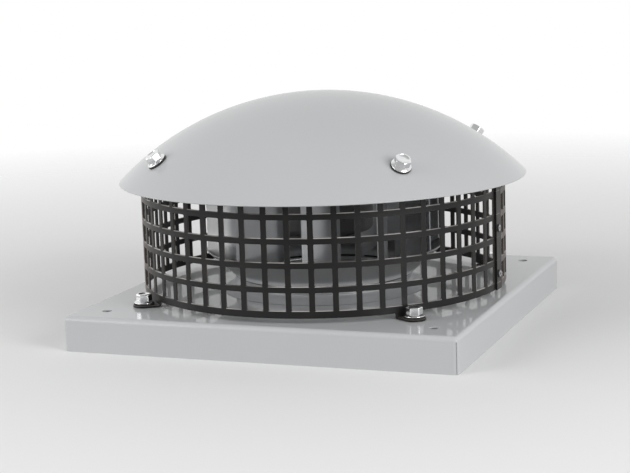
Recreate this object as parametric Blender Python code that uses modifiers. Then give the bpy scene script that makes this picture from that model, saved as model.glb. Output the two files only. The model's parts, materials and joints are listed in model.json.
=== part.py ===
"""Roof exhaust fan: a square folded base tray, a spun inlet nozzle, a perforated guard that carries
the domed cap, and a motor with a backward-curved impeller hung from a cross plate under the dome.

Metres, +Z up. The origin is the centre of the square that the tray's bottom rim stands on.
"""

import math

import bmesh
import bpy
from mathutils import Matrix, Vector

MM = 0.001
TOLERANCE = 0.1 * MM  # for finding the points on an edge

# Clearances
SEAT_GAP = 0.3 * MM  # between pieces that rest on each other
DOME_SEAT_GAP = 1.3 * MM  # a flat tab under the curved cap
BLADE_CLEARANCE = 1.3 * MM  # a flat blade inside the faceted shroud
AIR_GAP = 0.8 * MM  # between stator and rotor
RUNNING_GAP = 2.0 * MM  # can's rim under the motor flange

# Base tray
TRAY_SIDE = 360 * MM
TRAY_HEIGHT = 31.5 * MM
TRAY_SHEET = 1.5 * MM
TRAY_BEND = 4.5 * MM
CORNER_SLIT = 0.7 * MM
OVERCUT = 0.15 * MM
FIXING_HOLE = 9.0 * MM
FIXING_INSET = 28.8 * MM

# Inlet nozzle
NOZZLE_BORE = 152 * MM
NOZZLE_SHEET = 1.2 * MM
NOZZLE_COLLAR = 4.0 * MM
NOZZLE_FLARE = 10 * MM
NOZZLE_FLANGE = 8 * MM
NOZZLE_OVERLAP = 3.2 * MM

# Guard
GUARD_RADIUS = 167.5 * MM
GUARD_SHEET = 1.5 * MM
GUARD_LIFT = 4.8 * MM
GUARD_FOOT_BAND = 6.7 * MM
GUARD_TOP_BAND = 4.0 * MM
GUARD_TOP_CLEARANCE = 6.3 * MM
HOLE_WIDTH = 15.0 * MM
HOLE_HEIGHT = 15.2 * MM
COLUMN_PITCH = 20.0 * MM
ROW_PITCH = 20.7 * MM
SEAM_ANGLE = math.radians(-2.9)
SEAM_LAP = 12.5 * MM
SHEET_BEND = 2.0 * MM
EAR_WIDTH = 24.0 * MM
EAR_REACH = 11.5 * MM  # from the wall out to the bolt
TAB_REACH = 7.5 * MM  # from the wall in to the bolt
RIVET_EDGE = 5.0 * MM
RIVET_RADIUS = 1.9 * MM
RIVET_HEAD = 3.6 * MM
RIVET_CROWN = 1.4 * MM
RIVET_TAIL = 1.5 * MM
RIVET_SWELL = 0.8 * MM

# Domed cap
DOME_OVERHANG = 20.5 * MM  # past the guard
DOME_RIM_HEIGHT = 104 * MM
DOME_RISE = 77.5 * MM
DOME_SHEET = 1.5 * MM

# Fasteners
BOLT_RADIUS = 4.0 * MM
BOLT_LENGTH = 16.0 * MM
BOLT_HEX = 13.0 * MM
BOLT_HEAD = 7.6 * MM
BOLT_CHAMFER = 0.8 * MM
BOLT_FLANGE = 9.0 * MM
FLANGE_SIDE = 1.0 * MM
FLANGE_HEIGHT = 2.4 * MM
WASHER_RADIUS = 9.3 * MM
WASHER_SHEET = 1.0 * MM
NUT_HEIGHT = 6.5 * MM
HOLE_CLEARANCE = 0.5 * MM
SCREW_RADIUS = 2.5 * MM
SCREW_HEAD = 4.5 * MM
SCREW_CROWN = 2.8 * MM
SCREW_DEPTH = 5.0 * MM

# Motor and its plate
PLATE_SHEET = 2.0 * MM
PLATE_HALF = 46 * MM
ARM_WIDTH = 20 * MM
ARM_ROOT = 18 * MM
ARM_SLOPE_RUN = 14 * MM  # from the bend out to the bolt
ARM_END = 8.0 * MM
CABLE_HOLE = 8.0 * MM
SCREW_CIRCLE = 36 * MM
FLANGE_RADIUS = 43 * MM
FLANGE_SHEET = 6.0 * MM
TUBE_WALL = 4.7 * MM
BEARING_RADIUS = 11 * MM
BEARING_WIDTH = 7 * MM
SHAFT_RADIUS = 4 * MM
CAN_RADIUS = 46 * MM
CAN_LENGTH = 70 * MM
CAN_WALL = 2.0 * MM
CAN_FLOOR = 4.0 * MM
CAN_EDGE = 6.0 * MM
ROTOR_RING = 7.0 * MM
CORE_STACK = 38 * MM
WINDING_HEIGHT = 9 * MM
WINDING_INSET = 2.5 * MM
WINDING_LIFT = 3 * MM
BOX_LENGTH = 60 * MM
BOX_WIDTH = 36 * MM
BOX_HEIGHT = 24 * MM
BOX_WALL = 2.0 * MM
BOX_CORNER = 3.0 * MM
GLAND_RADIUS = 8 * MM
GLAND_NUT = 10.4 * MM
GLAND_BORE = 4.4 * MM
GLAND_LENGTH = 14 * MM
GLAND_TAPER = 5 * MM
GLAND_INSIDE = 6 * MM

# Impeller
IMPELLER_RADIUS = 110 * MM
IMPELLER_SHEET = 1.2 * MM
BACKPLATE_DROP = 20 * MM
BACKPLATE_COLLAR = 8 * MM
EYE_LIFT = 7.0 * MM
EYE_GAP = 1.8 * MM
SHROUD_COLLAR = 2.0 * MM
SHROUD_BEND = 5.0 * MM
SHROUD_SLOPE = math.radians(42)
SHROUD_ARCS = 3
BLADE_COUNT = 10
BLADE_INNER_RADIUS = 76 * MM
BLADE_TIP_INSET = 1.5 * MM
BLADE_SWEEP = math.radians(21)
BLADE_BOW = 4.0 * MM
BLADE_SHEET = 1.2 * MM
BLADE_PHASE = math.radians(-80)
BLADE_STEPS = 4

# Facets
DOME_STEPS = 36
DOME_ARCS = 6
ROUND_STEPS = 30
SMALL_STEPS = 18
BOLT_STEPS = 10
SCREW_STEPS = 8
CORNERS = [math.radians(angle) for angle in (-45, 45, 135, 225)]

# Worked-out levels and radii
DECK = TRAY_HEIGHT
GUARD_BOLT_RADIUS = GUARD_RADIUS + EAR_REACH
DOME_BOLT_RADIUS = GUARD_RADIUS - TAB_REACH
ARM_BEND_RADIUS = DOME_BOLT_RADIUS - ARM_SLOPE_RUN
DOME_RIM_RADIUS = GUARD_RADIUS + DOME_OVERHANG
DOME_SPHERE = (DOME_RIM_RADIUS**2 + DOME_RISE**2) / (2 * DOME_RISE)
DOME_CENTRE = DECK + DOME_RIM_HEIGHT + DOME_RISE - DOME_SPHERE
DOME_SLOPE = math.asin(DOME_BOLT_RADIUS / DOME_SPHERE)
TAB_DEPTH = DOME_SHEET + DOME_SEAT_GAP + GUARD_SHEET / 2
ARM_DEPTH = TAB_DEPTH + GUARD_SHEET / 2 + SEAT_GAP + PLATE_SHEET / 2
NUT_DEPTH = ARM_DEPTH + PLATE_SHEET / 2 + SEAT_GAP + NUT_HEIGHT
HOLE_RADIUS = BOLT_RADIUS + HOLE_CLEARANCE
EAR_LEVEL = DECK + SEAT_GAP + GUARD_SHEET / 2


def dome_point(depth):
    """(radius, height) on a dome bolt's axis, this deep under the cap's outer face."""
    reach = DOME_SPHERE - depth
    return reach * math.sin(DOME_SLOPE), DOME_CENTRE + reach * math.cos(DOME_SLOPE)


def height_on_slope(depth, radius):
    """Height of the flat tab or arm end that lies this deep under the cap, at a radius."""
    seat_radius, seat_height = dome_point(depth)
    return seat_height + (seat_radius - radius) * math.tan(DOME_SLOPE)


GUARD_TOP = (
    DOME_CENTRE
    + math.sqrt((DOME_SPHERE - DOME_SHEET) ** 2 - (GUARD_RADIUS + GUARD_SHEET / 2) ** 2)
    - GUARD_TOP_CLEARANCE
)
PLATE_LEVEL = height_on_slope(ARM_DEPTH, ARM_BEND_RADIUS)
FLANGE_TOP = PLATE_LEVEL - PLATE_SHEET / 2 - SEAT_GAP
FLANGE_BOTTOM = FLANGE_TOP - FLANGE_SHEET
CAN_TOP = FLANGE_BOTTOM - RUNNING_GAP
CAN_BOTTOM = CAN_TOP - CAN_LENGTH
CAN_INSIDE = CAN_BOTTOM + CAN_FLOOR
TUBE_RADIUS = BEARING_RADIUS + SEAT_GAP + TUBE_WALL
TUBE_BOTTOM = CAN_INSIDE + WINDING_LIFT
CORE_BOTTOM = CAN_INSIDE + WINDING_LIFT + WINDING_HEIGHT + SEAT_GAP
CORE_TOP = CORE_BOTTOM + CORE_STACK
ROTOR_RING_OUTER = CAN_RADIUS - CAN_WALL - SEAT_GAP
ROTOR_RING_INNER = ROTOR_RING_OUTER - ROTOR_RING
CORE_RADIUS = ROTOR_RING_INNER - AIR_GAP
BACKPLATE_TOP = CAN_TOP - BACKPLATE_DROP
BLADE_TOP = BACKPLATE_TOP - IMPELLER_SHEET - SEAT_GAP
EYE_BOTTOM = DECK + EYE_LIFT
NOZZLE_TOP = EYE_BOTTOM + NOZZLE_OVERLAP
NOZZLE_RADIUS = NOZZLE_BORE / 2 + NOZZLE_SHEET
EYE_RADIUS = NOZZLE_RADIUS + EYE_GAP


# Scene helpers


def clear_scene():
    for obj in list(bpy.data.objects):
        bpy.data.objects.remove(obj, do_unlink=True)


def new_collection(name):
    collection = bpy.data.collections.new(name)
    bpy.context.scene.collection.children.link(collection)
    return collection


def finish(name, colour, roughness, metallic):
    """A Principled material with the finish's colour, roughness and metallic value."""
    material = bpy.data.materials.new(name)
    material.use_nodes = True
    shader = material.node_tree.nodes["Principled BSDF"]
    shader.inputs["Base Color"].default_value = (*colour, 1)
    shader.inputs["Roughness"].default_value = roughness
    shader.inputs["Metallic"].default_value = metallic
    return material


def add_object(name, mesh, material):
    obj = bpy.data.objects.new(name, mesh)
    PARTS.objects.link(obj)
    if not mesh.materials:
        mesh.materials.append(material)
    return obj


def mesh_of(name, bm):
    """The bmesh as a mesh, its faces turned outwards."""
    bmesh.ops.recalc_face_normals(bm, faces=bm.faces[:])
    mesh = bpy.data.meshes.new(name)
    bm.to_mesh(mesh)
    bm.free()
    return mesh


def smooth(mesh, angle=35):
    mesh.shade_smooth()
    mesh.set_sharp_from_angle(angle=math.radians(angle))


def thicken(obj, sheet, offset=-1.0):
    """Gives an open surface its sheet thickness, inwards unless an offset says otherwise."""
    solidify = obj.modifiers.new("Sheet", "SOLIDIFY")
    solidify.thickness = sheet
    solidify.offset = offset
    solidify.use_even_offset = True
    return solidify


def combine(obj, other, operation="DIFFERENCE"):
    boolean = obj.modifiers.new(other.name, "BOOLEAN")
    boolean.operation = operation
    boolean.solver = "EXACT"
    boolean.object = other


def evaluated_mesh(obj, name):
    """The object's mesh with its modifiers in it. The object itself is removed."""
    graph = bpy.context.evaluated_depsgraph_get()
    mesh = bpy.data.meshes.new_from_object(obj.evaluated_get(graph))
    mesh.name = name
    bpy.data.objects.remove(obj, do_unlink=True)
    smooth(mesh)
    return mesh


def turned(name, profile, material, closed=True, steps=ROUND_STEPS, sheet=0.0):
    """A profile of (radius, height) points turned about Z. It runs down its outer side."""
    bm = bmesh.new()
    verts = [bm.verts.new((radius, 0, height)) for radius, height in profile]
    for start, end in zip(verts, verts[1:]):
        bm.edges.new((start, end))
    if closed:
        bm.edges.new((verts[-1], verts[0]))
    mesh = bpy.data.meshes.new(name)
    bm.to_mesh(mesh)
    bm.free()
    obj = add_object(name, mesh, material)
    screw = obj.modifiers.new("Turn", "SCREW")
    screw.axis = "Z"
    screw.angle = 2 * math.pi
    screw.steps = steps
    screw.render_steps = steps
    screw.use_merge_vertices = True
    screw.merge_threshold = 0.00001
    screw.use_smooth_shade = True
    if sheet:
        thicken(obj, sheet)
    return obj


def ring_profile(inner, outer, bottom, top):
    return [(inner, top), (outer, top), (outer, bottom), (inner, bottom)]


def ellipse_arc(centre, half_width, half_height, start, end, count):
    """Points from one angle to another, in degrees, on an ellipse in the profile's plane."""
    points = []
    for step in range(count + 1):
        angle = math.radians(start + (end - start) * step / count)
        radius = centre[0] + half_width * math.cos(angle)
        points.append((radius, centre[1] + half_height * math.sin(angle)))
    return points


def add_cutter(name, bm):
    obj = bpy.data.objects.new(name, mesh_of(name, bm))
    CUTTERS.objects.link(obj)
    obj.hide_render = True
    obj.display_type = "WIRE"
    return obj


def hole_cutter(name, holes, sides=BOLT_STEPS):
    """One cutter of several cylinders, each given by its centre, its axis, radius and length."""
    bm = bmesh.new()
    for centre, axis, radius, length in holes:
        turn = Vector(axis).to_track_quat("Z", "Y").to_matrix().to_4x4()
        bmesh.ops.create_cone(
            bm,
            cap_ends=True,
            segments=sides,
            radius1=radius,
            radius2=radius,
            depth=length,
            matrix=Matrix.Translation(centre) @ turn,
        )
    return add_cutter(name, bm)


def around(angle, radius, height):
    return Vector((radius * math.cos(angle), radius * math.sin(angle), height))


def dome_axis(angle):
    """The direction that a dome bolt's head points in."""
    return around(angle, math.sin(DOME_SLOPE), math.cos(DOME_SLOPE))


def stand(obj, location, axis):
    """Puts an object's origin at a place and its own Z along an axis."""
    obj.location = location
    obj.rotation_euler = Vector(axis).to_track_quat("Z", "Y").to_euler()


# Holes that several pieces share


def ear_holes():
    holes = []
    for angle in CORNERS:
        centre = around(angle, GUARD_BOLT_RADIUS, DECK)
        holes.append((centre, (0, 0, 1), HOLE_RADIUS, 4 * (TRAY_SHEET + GUARD_SHEET)))
    return hole_cutter("ear_hole_cutter", holes)


def dome_holes():
    holes = []
    for angle in CORNERS:
        radius, height = dome_point(ARM_DEPTH / 2)
        length = ARM_DEPTH + 2 * BOLT_RADIUS
        holes.append((around(angle, radius, height), dome_axis(angle), HOLE_RADIUS, length))
    return hole_cutter("dome_hole_cutter", holes)


def motor_holes():
    holes = []
    for angle in CORNERS:
        centre = around(angle, SCREW_CIRCLE, PLATE_LEVEL)
        depth = 2 * (SCREW_DEPTH + PLATE_SHEET)
        holes.append((centre, (0, 0, 1), SCREW_RADIUS + SEAT_GAP, depth))
    return hole_cutter("motor_hole_cutter", holes)


# Base tray


def base_tray():
    """A folded square tray: the top and its flanges, open below, with an open seam at each corner."""
    bm = bmesh.new()
    bmesh.ops.create_cube(bm, size=1)
    bmesh.ops.scale(bm, verts=bm.verts, vec=(TRAY_SIDE, TRAY_SIDE, TRAY_HEIGHT))
    bmesh.ops.translate(bm, verts=bm.verts, vec=(0, 0, TRAY_HEIGHT / 2))
    under = [face for face in bm.faces if face.normal.z < -0.5]
    bmesh.ops.delete(bm, geom=under, context="FACES_ONLY")
    folds = [edge for edge in bm.edges if all(vert.co.z > TRAY_BEND for vert in edge.verts)]
    bmesh.ops.bevel(bm, geom=folds, offset=TRAY_BEND, affect="EDGES", segments=2, profile=0.5)
    mesh = mesh_of("base_tray", bm)
    tray = add_object("base_tray", mesh, PAINT)
    thicken(tray, TRAY_SHEET)
    through = 4 * TRAY_SHEET
    opening = NOZZLE_RADIUS + NOZZLE_FLARE - NOZZLE_SHEET
    inlet = [((0, 0, DECK), (0, 0, 1), opening, through)]
    side = TRAY_SIDE / 2 - FIXING_INSET
    fixings = [
        (Vector((x, y, DECK)), (0, 0, 1), FIXING_HOLE / 2, through)
        for x in (-side, side)
        for y in (-side, side)
    ]
    combine(tray, hole_cutter("inlet_cutter", inlet, ROUND_STEPS))
    combine(tray, hole_cutter("fixing_hole_cutter", fixings))
    combine(tray, EAR_HOLES)
    combine(tray, corner_slits())


def corner_slits():
    """The open seam beside each vertical corner, where one flange ends short of the next."""
    bm = bmesh.new()
    height = TRAY_HEIGHT - TRAY_BEND
    for turn in range(4):
        start = len(bm.verts)
        bmesh.ops.create_cube(bm, size=1)
        verts = bm.verts[start:]
        bmesh.ops.scale(bm, verts=verts, vec=(CORNER_SLIT, 4 * TRAY_SHEET, 2 * height))
        # The cut goes a little past each wall's inner face, so that no faces coincide.
        x = TRAY_SIDE / 2 - TRAY_SHEET - CORNER_SLIT / 2 + OVERCUT
        y = -TRAY_SIDE / 2 - TRAY_SHEET + OVERCUT
        bmesh.ops.translate(bm, verts=verts, vec=(x, y, 0))
        spin = Matrix.Rotation(turn * math.pi / 2, 3, "Z")
        bmesh.ops.rotate(bm, verts=verts, cent=(0, 0, 0), matrix=spin)
    return add_cutter("slit_cutter", bm)


# Inlet nozzle


def inlet_nozzle():
    """A spun bell-mouth: a short collar that flares out to a flat flange on the deck."""
    flange_top = DECK + SEAT_GAP + NOZZLE_SHEET
    flare_top = NOZZLE_TOP - NOZZLE_COLLAR
    centre = (NOZZLE_RADIUS + NOZZLE_FLARE, flare_top)
    flare = ellipse_arc(centre, NOZZLE_FLARE, flare_top - flange_top, 180, 270, 4)
    rim = NOZZLE_RADIUS + NOZZLE_FLARE + NOZZLE_FLANGE
    profile = [(NOZZLE_RADIUS, NOZZLE_TOP), *flare, (rim, flange_top)]
    turned("inlet_nozzle", profile, ZINC_SHEET, closed=False, sheet=NOZZLE_SHEET)


# Guard


def guard_columns():
    """Positions along the guard's strip, each with whether a hole starts there.

    The strip starts at its outer lap, which covers the last stretch of the strip.
    """
    turn = 2 * math.pi * GUARD_RADIUS
    web = COLUMN_PITCH - HOLE_WIDTH
    count = int(turn / COLUMN_PITCH)
    band = turn - count * COLUMN_PITCH + web
    first = SEAM_LAP / 2 + band / 2
    marks = {}
    for column in range(count):
        start = first + column * COLUMN_PITCH
        marks[start] = True
        marks[start + HOLE_WIDTH] = False
    marks[0.0] = False
    marks[SEAM_LAP] = False
    # The covered end stops short of the bend that sets the outer lap outwards.
    marks[turn + SEAM_LAP - SHEET_BEND] = False
    holes = [(start, start + HOLE_WIDTH) for start, is_hole in marks.items() if is_hole]
    for angle in CORNERS:
        middle = ((angle - SEAM_ANGLE) % (2 * math.pi)) * GUARD_RADIUS + SEAM_LAP / 2
        for side in (-EAR_WIDTH / 2, EAR_WIDTH / 2):
            marks[middle + side] = False
    return sorted(marks), holes


def guard_rows():
    """Heights of the rows of cells, and which of them hold holes."""
    bottom = DECK + GUARD_LIFT
    first = bottom + GUARD_FOOT_BAND
    room = GUARD_TOP - GUARD_TOP_BAND - HOLE_HEIGHT - first
    count = int(room / ROW_PITCH) + 1
    heights = [bottom]
    holes = []
    for row in range(count):
        start = first + row * ROW_PITCH
        heights += [start, start + HOLE_HEIGHT]
        holes.append((start, start + HOLE_HEIGHT))
    heights.append(GUARD_TOP)
    return heights, holes


def within(value, spans):
    return any(start < value < end for start, end in spans)


def seam_step(position):
    """How far the strip stands out at this position: the outer lap clears the inner one."""
    return GUARD_SHEET + SEAT_GAP if position < SEAM_LAP + TOLERANCE else 0.0


def strip_angle(position):
    return SEAM_ANGLE + (position - SEAM_LAP / 2) / GUARD_RADIUS


def extend(bm, verts, angle, rows):
    """Extrudes a run of edge points into a tab. Each row is (radius, height, half width)."""
    count = len(verts) - 1
    for radius, height, half in rows:
        edges = [bm.edges.get((a, b)) for a, b in zip(verts, verts[1:])]
        made = bmesh.ops.extrude_edge_only(bm, edges=edges)["geom"]
        new_verts = [item for item in made if isinstance(item, bmesh.types.BMVert)]
        verts = sorted(new_verts, key=lambda vert: side_of(vert.co, angle))
        for index, vert in enumerate(verts):
            across = half * (2 * index / count - 1)
            vert.co = around(angle, radius, height) + around(angle + math.pi / 2, across, 0)


def side_of(point, angle):
    """How far a point lies to the side of the ray at this angle, anticlockwise positive."""
    return point.y * math.cos(angle) - point.x * math.sin(angle)


def edge_run(bm, height, angle, half):
    """The points of the guard's edge at this height, within half a width of an angle."""
    found = []
    for vert in bm.verts:
        ahead = vert.co.x * math.cos(angle) + vert.co.y * math.sin(angle)
        if abs(vert.co.z - height) < TOLERANCE and ahead > 0:
            if abs(side_of(vert.co, angle)) < half + TOLERANCE:
                found.append(vert)
    return sorted(found, key=lambda vert: side_of(vert.co, angle))


def ear_rows():
    """A bend at the foot of the wall, a flat ear on the deck and its round end."""
    half = EAR_WIDTH / 2
    rows = []
    for step in range(3):
        turn = math.radians(45 * step)
        radius = GUARD_RADIUS + SHEET_BEND * (1 - math.cos(turn))
        height = EAR_LEVEL + SHEET_BEND * (1 - math.sin(turn))
        rows.append((radius, height, half))
    for step in range(3):
        turn = math.radians(35 * step)
        radius = GUARD_BOLT_RADIUS + half * math.sin(turn)
        rows.append((radius, EAR_LEVEL, half * math.cos(turn)))
    return rows


def tab_rows():
    """A bend at the head of the wall and a flat tab that slopes with the cap, with a round end."""
    half = EAR_WIDTH / 2
    turn = math.pi / 2 - DOME_SLOPE
    reach = SHEET_BEND * math.tan(turn / 2)
    corner = height_on_slope(TAB_DEPTH, GUARD_RADIUS)
    rows = []
    for step in range(3):
        part = turn * step / 2
        radius = GUARD_RADIUS - SHEET_BEND * (1 - math.cos(part))
        rows.append((radius, corner - reach + SHEET_BEND * math.sin(part), half))
    seat_radius = dome_point(TAB_DEPTH)[0]
    for step in range(3):
        part = math.radians(35 * step)
        radius = seat_radius - half * math.sin(part) * math.cos(DOME_SLOPE)
        height = height_on_slope(TAB_DEPTH, radius)
        rows.append((radius, height, half * math.cos(part)))
    return rows


def guard_cage():
    """A perforated strip rolled into a cylinder, lapped at its seam, with ears and tabs."""
    columns, column_holes = guard_columns()
    rows, row_holes = guard_rows()
    bm = bmesh.new()
    bmesh.ops.create_grid(bm, x_segments=len(columns) - 1, y_segments=len(rows) - 1, size=1)
    for vert in bm.verts:
        column = round((vert.co.x + 1) / 2 * (len(columns) - 1))
        row = round((vert.co.y + 1) / 2 * (len(rows) - 1))
        vert.co = Vector((columns[column], rows[row], 0))
    holes = []
    for face in bm.faces:
        centre = face.calc_center_median()
        if within(centre.x, column_holes) and within(centre.y, row_holes):
            holes.append(face)
    bmesh.ops.delete(bm, geom=holes, context="FACES")
    for vert in bm.verts:
        position, height, _ = vert.co
        vert.co = around(strip_angle(position), GUARD_RADIUS + seam_step(position), height)
    for angle in CORNERS:
        ear = edge_run(bm, rows[0], angle, EAR_WIDTH / 2)
        tab = edge_run(bm, rows[-1], angle, EAR_WIDTH / 2)
        extend(bm, ear, angle, ear_rows())
        extend(bm, tab, angle, tab_rows())
    cage = add_object("guard_cage", mesh_of("guard_cage", bm), BLACK_PAINT)
    thicken(cage, GUARD_SHEET, offset=0.0)
    combine(cage, EAR_HOLES)
    combine(cage, DOME_HOLES)
    combine(cage, rivet_holes())


def rivet_axes():
    """(angle, height) of each seam rivet: in the lap, beside the first and third rows of holes."""
    _, holes = guard_rows()
    angle = strip_angle(RIVET_EDGE)
    return [(angle, sum(holes[row]) / 2) for row in (0, 2)]


def rivet_holes():
    holes = []
    for angle, height in rivet_axes():
        centre = around(angle, GUARD_RADIUS, height)
        length = 8 * GUARD_SHEET
        holes.append((centre, around(angle, 1, 0), RIVET_RADIUS + SEAT_GAP, length))
    return hole_cutter("rivet_hole_cutter", holes)


def rivet_mesh():
    """A blind rivet. Its origin is under the head, on the axis."""
    grip = 2 * GUARD_SHEET + 3 * SEAT_GAP
    tail = grip + RIVET_TAIL
    swell = RIVET_RADIUS + RIVET_SWELL
    profile = [(0, RIVET_CROWN), (0.6 * RIVET_HEAD, 0.8 * RIVET_CROWN), (RIVET_HEAD, 0)]
    profile += [(RIVET_RADIUS, 0), (RIVET_RADIUS, -grip), (swell, -grip)]
    profile += [(swell, -tail), (0, -tail)]
    rivet = turned("rivet", profile, ZINC_SHEET, closed=False, steps=SCREW_STEPS)
    return evaluated_mesh(rivet, "seam_rivet")


def seam_rivets():
    """Blind rivets through both laps of the seam, heads outside."""
    mesh = rivet_mesh()
    outside = GUARD_RADIUS + 1.5 * GUARD_SHEET + 2 * SEAT_GAP
    for index, (angle, height) in enumerate(rivet_axes(), 1):
        rivet = add_object(f"seam_rivet_{index}", mesh, ZINC_SHEET)
        stand(rivet, around(angle, outside, height), around(angle, 1, 0))


# Domed cap


def dome_cap():
    """A spun cap: a shallow part of a sphere, with a hole for each bolt."""
    half_angle = math.asin(DOME_RIM_RADIUS / DOME_SPHERE)
    profile = []
    for step in range(DOME_ARCS + 1):
        turn = half_angle * step / DOME_ARCS
        height = DOME_CENTRE + DOME_SPHERE * math.cos(turn)
        profile.append((DOME_SPHERE * math.sin(turn), height))
    cap = turned("dome_cap", profile, PAINT, False, DOME_STEPS, DOME_SHEET)
    combine(cap, DOME_HOLES)


# Fasteners


def hexagon(middle, height):
    """A hexagonal prism round Z, as wide across its flats as a bolt's head."""
    bm = bmesh.new()
    corner = BOLT_HEX / math.sqrt(3)
    bmesh.ops.create_cone(
        bm,
        cap_ends=True,
        segments=6,
        radius1=corner,
        radius2=corner,
        depth=height,
        matrix=Matrix.Translation((0, 0, middle)),
    )
    return bm


def flange_bolt_mesh():
    """A hexagon bolt with its own flange. Its origin is under the flange, on the axis."""
    profile = [(0, FLANGE_HEIGHT), (0.8 * BOLT_FLANGE, FLANGE_HEIGHT)]
    profile += [(BOLT_FLANGE, FLANGE_SIDE), (BOLT_FLANGE, 0), (BOLT_RADIUS, 0)]
    profile += [(BOLT_RADIUS, -BOLT_LENGTH), (0, -BOLT_LENGTH)]
    bolt = turned("bolt", profile, STEEL, closed=False, steps=BOLT_STEPS)
    height = BOLT_HEAD - BOLT_CHAMFER - FLANGE_SIDE
    bm = hexagon(FLANGE_SIDE + height / 2, height)
    top = [face for face in bm.faces if face.normal.z > 0.5]
    bmesh.ops.inset_region(bm, faces=top, thickness=BOLT_CHAMFER)
    bmesh.ops.translate(bm, verts=top[0].verts, vec=(0, 0, BOLT_CHAMFER))
    head = bpy.data.objects.new("bolt_head", mesh_of("bolt_head", bm))
    CUTTERS.objects.link(head)
    combine(bolt, head, "UNION")
    mesh = evaluated_mesh(bolt, "flange_bolt")
    bpy.data.objects.remove(head, do_unlink=True)
    return mesh


def washer_mesh():
    profile = ring_profile(BOLT_RADIUS + SEAT_GAP, WASHER_RADIUS, 0, WASHER_SHEET)
    washer = turned("washer", profile, RUBBER, steps=BOLT_STEPS)
    return evaluated_mesh(washer, "washer")


def nut_mesh():
    """A hexagon nut. Its origin is in its upper face, on the axis."""
    bm = hexagon(-NUT_HEIGHT / 2, NUT_HEIGHT)
    nut = add_object("nut", mesh_of("nut", bm), STEEL)
    bore = hole_cutter("nut_bore", [((0, 0, 0), (0, 0, 1), BOLT_RADIUS + SEAT_GAP, 3 * NUT_HEIGHT)])
    combine(nut, bore)
    mesh = evaluated_mesh(nut, "flange_nut")
    bpy.data.objects.remove(bore, do_unlink=True)
    return mesh


def guard_fasteners(bolt, washer, nut):
    """A bolt, a washer and a nut through each ear and the deck."""
    washer_level = EAR_LEVEL + GUARD_SHEET / 2 + SEAT_GAP
    bolt_level = washer_level + WASHER_SHEET + SEAT_GAP
    nut_level = DECK - TRAY_SHEET - SEAT_GAP
    for index, angle in enumerate(CORNERS, 1):
        for name, mesh, level, material in (
            ("guard_washer", washer, washer_level, RUBBER),
            ("guard_bolt", bolt, bolt_level, STEEL),
            ("guard_nut", nut, nut_level, STEEL),
        ):
            piece = add_object(f"{name}_{index}", mesh, material)
            piece.location = around(angle, GUARD_BOLT_RADIUS, level)
            piece.rotation_euler = (0, 0, angle)


def dome_fasteners(bolt, seal, nut):
    """A bolt over a seal on the cap, and its nut under the arm of the motor plate."""
    for index, angle in enumerate(CORNERS, 1):
        for name, mesh, depth, material in (
            ("dome_seal", seal, -SEAT_GAP, RUBBER),
            ("dome_bolt", bolt, -2 * SEAT_GAP - WASHER_SHEET, STEEL),
            ("dome_nut", nut, NUT_DEPTH - NUT_HEIGHT, STEEL),
        ):
            piece = add_object(f"{name}_{index}", mesh, material)
            stand(piece, around(angle, *dome_point(depth)), dome_axis(angle))


def motor_screws():
    """Pan-head screws through the motor plate into the motor's flange."""
    tip = -PLATE_SHEET - SCREW_DEPTH + SEAT_GAP
    profile = [(0, SCREW_CROWN), (0.6 * SCREW_HEAD, 0.9 * SCREW_CROWN)]
    profile += [(SCREW_HEAD, 0.4 * SCREW_CROWN)]
    profile += [(SCREW_HEAD, 0), (SCREW_RADIUS, 0), (SCREW_RADIUS, tip), (0, tip)]
    first = turned("screw", profile, STEEL, closed=False, steps=SCREW_STEPS)
    mesh = evaluated_mesh(first, "motor_screw")
    for index, angle in enumerate(CORNERS, 1):
        screw = add_object(f"motor_screw_{index}", mesh, STEEL)
        level = PLATE_LEVEL + PLATE_SHEET / 2 + SEAT_GAP
        screw.location = around(angle, SCREW_CIRCLE, level)


# Motor plate


def motor_plate():
    """A square plate with four arms, whose ends slope with the cap and share its bolts."""
    bm = bmesh.new()
    turn = Matrix.Rotation(math.pi / 4, 4, "Z")
    lift = Matrix.Translation((0, 0, PLATE_LEVEL))
    bmesh.ops.create_grid(bm, x_segments=1, y_segments=1, size=PLATE_HALF, matrix=lift @ turn)
    half = ARM_WIDTH / 2
    tip_radius = dome_point(ARM_DEPTH)[0] + ARM_END * math.cos(DOME_SLOPE)
    for angle in CORNERS:
        outward = around(angle, 1, 0)
        side = [vert for vert in bm.verts if abs(vert.co.dot(outward) - PLATE_HALF) < TOLERANCE]
        side.sort(key=lambda vert: side_of(vert.co, angle))
        rows = [
            (PLATE_HALF + ARM_ROOT, PLATE_LEVEL, half),
            (ARM_BEND_RADIUS, PLATE_LEVEL, half),
            (tip_radius, height_on_slope(ARM_DEPTH, tip_radius), half),
        ]
        extend(bm, side, angle, rows)
    plate = add_object("motor_plate", mesh_of("motor_plate", bm), ZINC_SHEET)
    thicken(plate, PLATE_SHEET, offset=0.0)
    combine(plate, DOME_HOLES)
    combine(plate, MOTOR_HOLES)
    cable = [((0, 0, PLATE_LEVEL), (0, 0, 1), CABLE_HOLE, 4 * PLATE_SHEET)]
    combine(plate, hole_cutter("cable_hole_cutter", cable))


# Motor


def stator_flange():
    """The motor's fixed flange with the tube that holds both bearings and the stator."""
    bore = BEARING_RADIUS + SEAT_GAP
    profile = [(bore, FLANGE_TOP), (FLANGE_RADIUS, FLANGE_TOP), (FLANGE_RADIUS, FLANGE_BOTTOM)]
    profile += [(TUBE_RADIUS, FLANGE_BOTTOM), (TUBE_RADIUS, TUBE_BOTTOM), (bore, TUBE_BOTTOM)]
    flange = turned("stator_flange", profile, ALUMINIUM, steps=SMALL_STEPS)
    combine(flange, MOTOR_HOLES)


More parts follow.
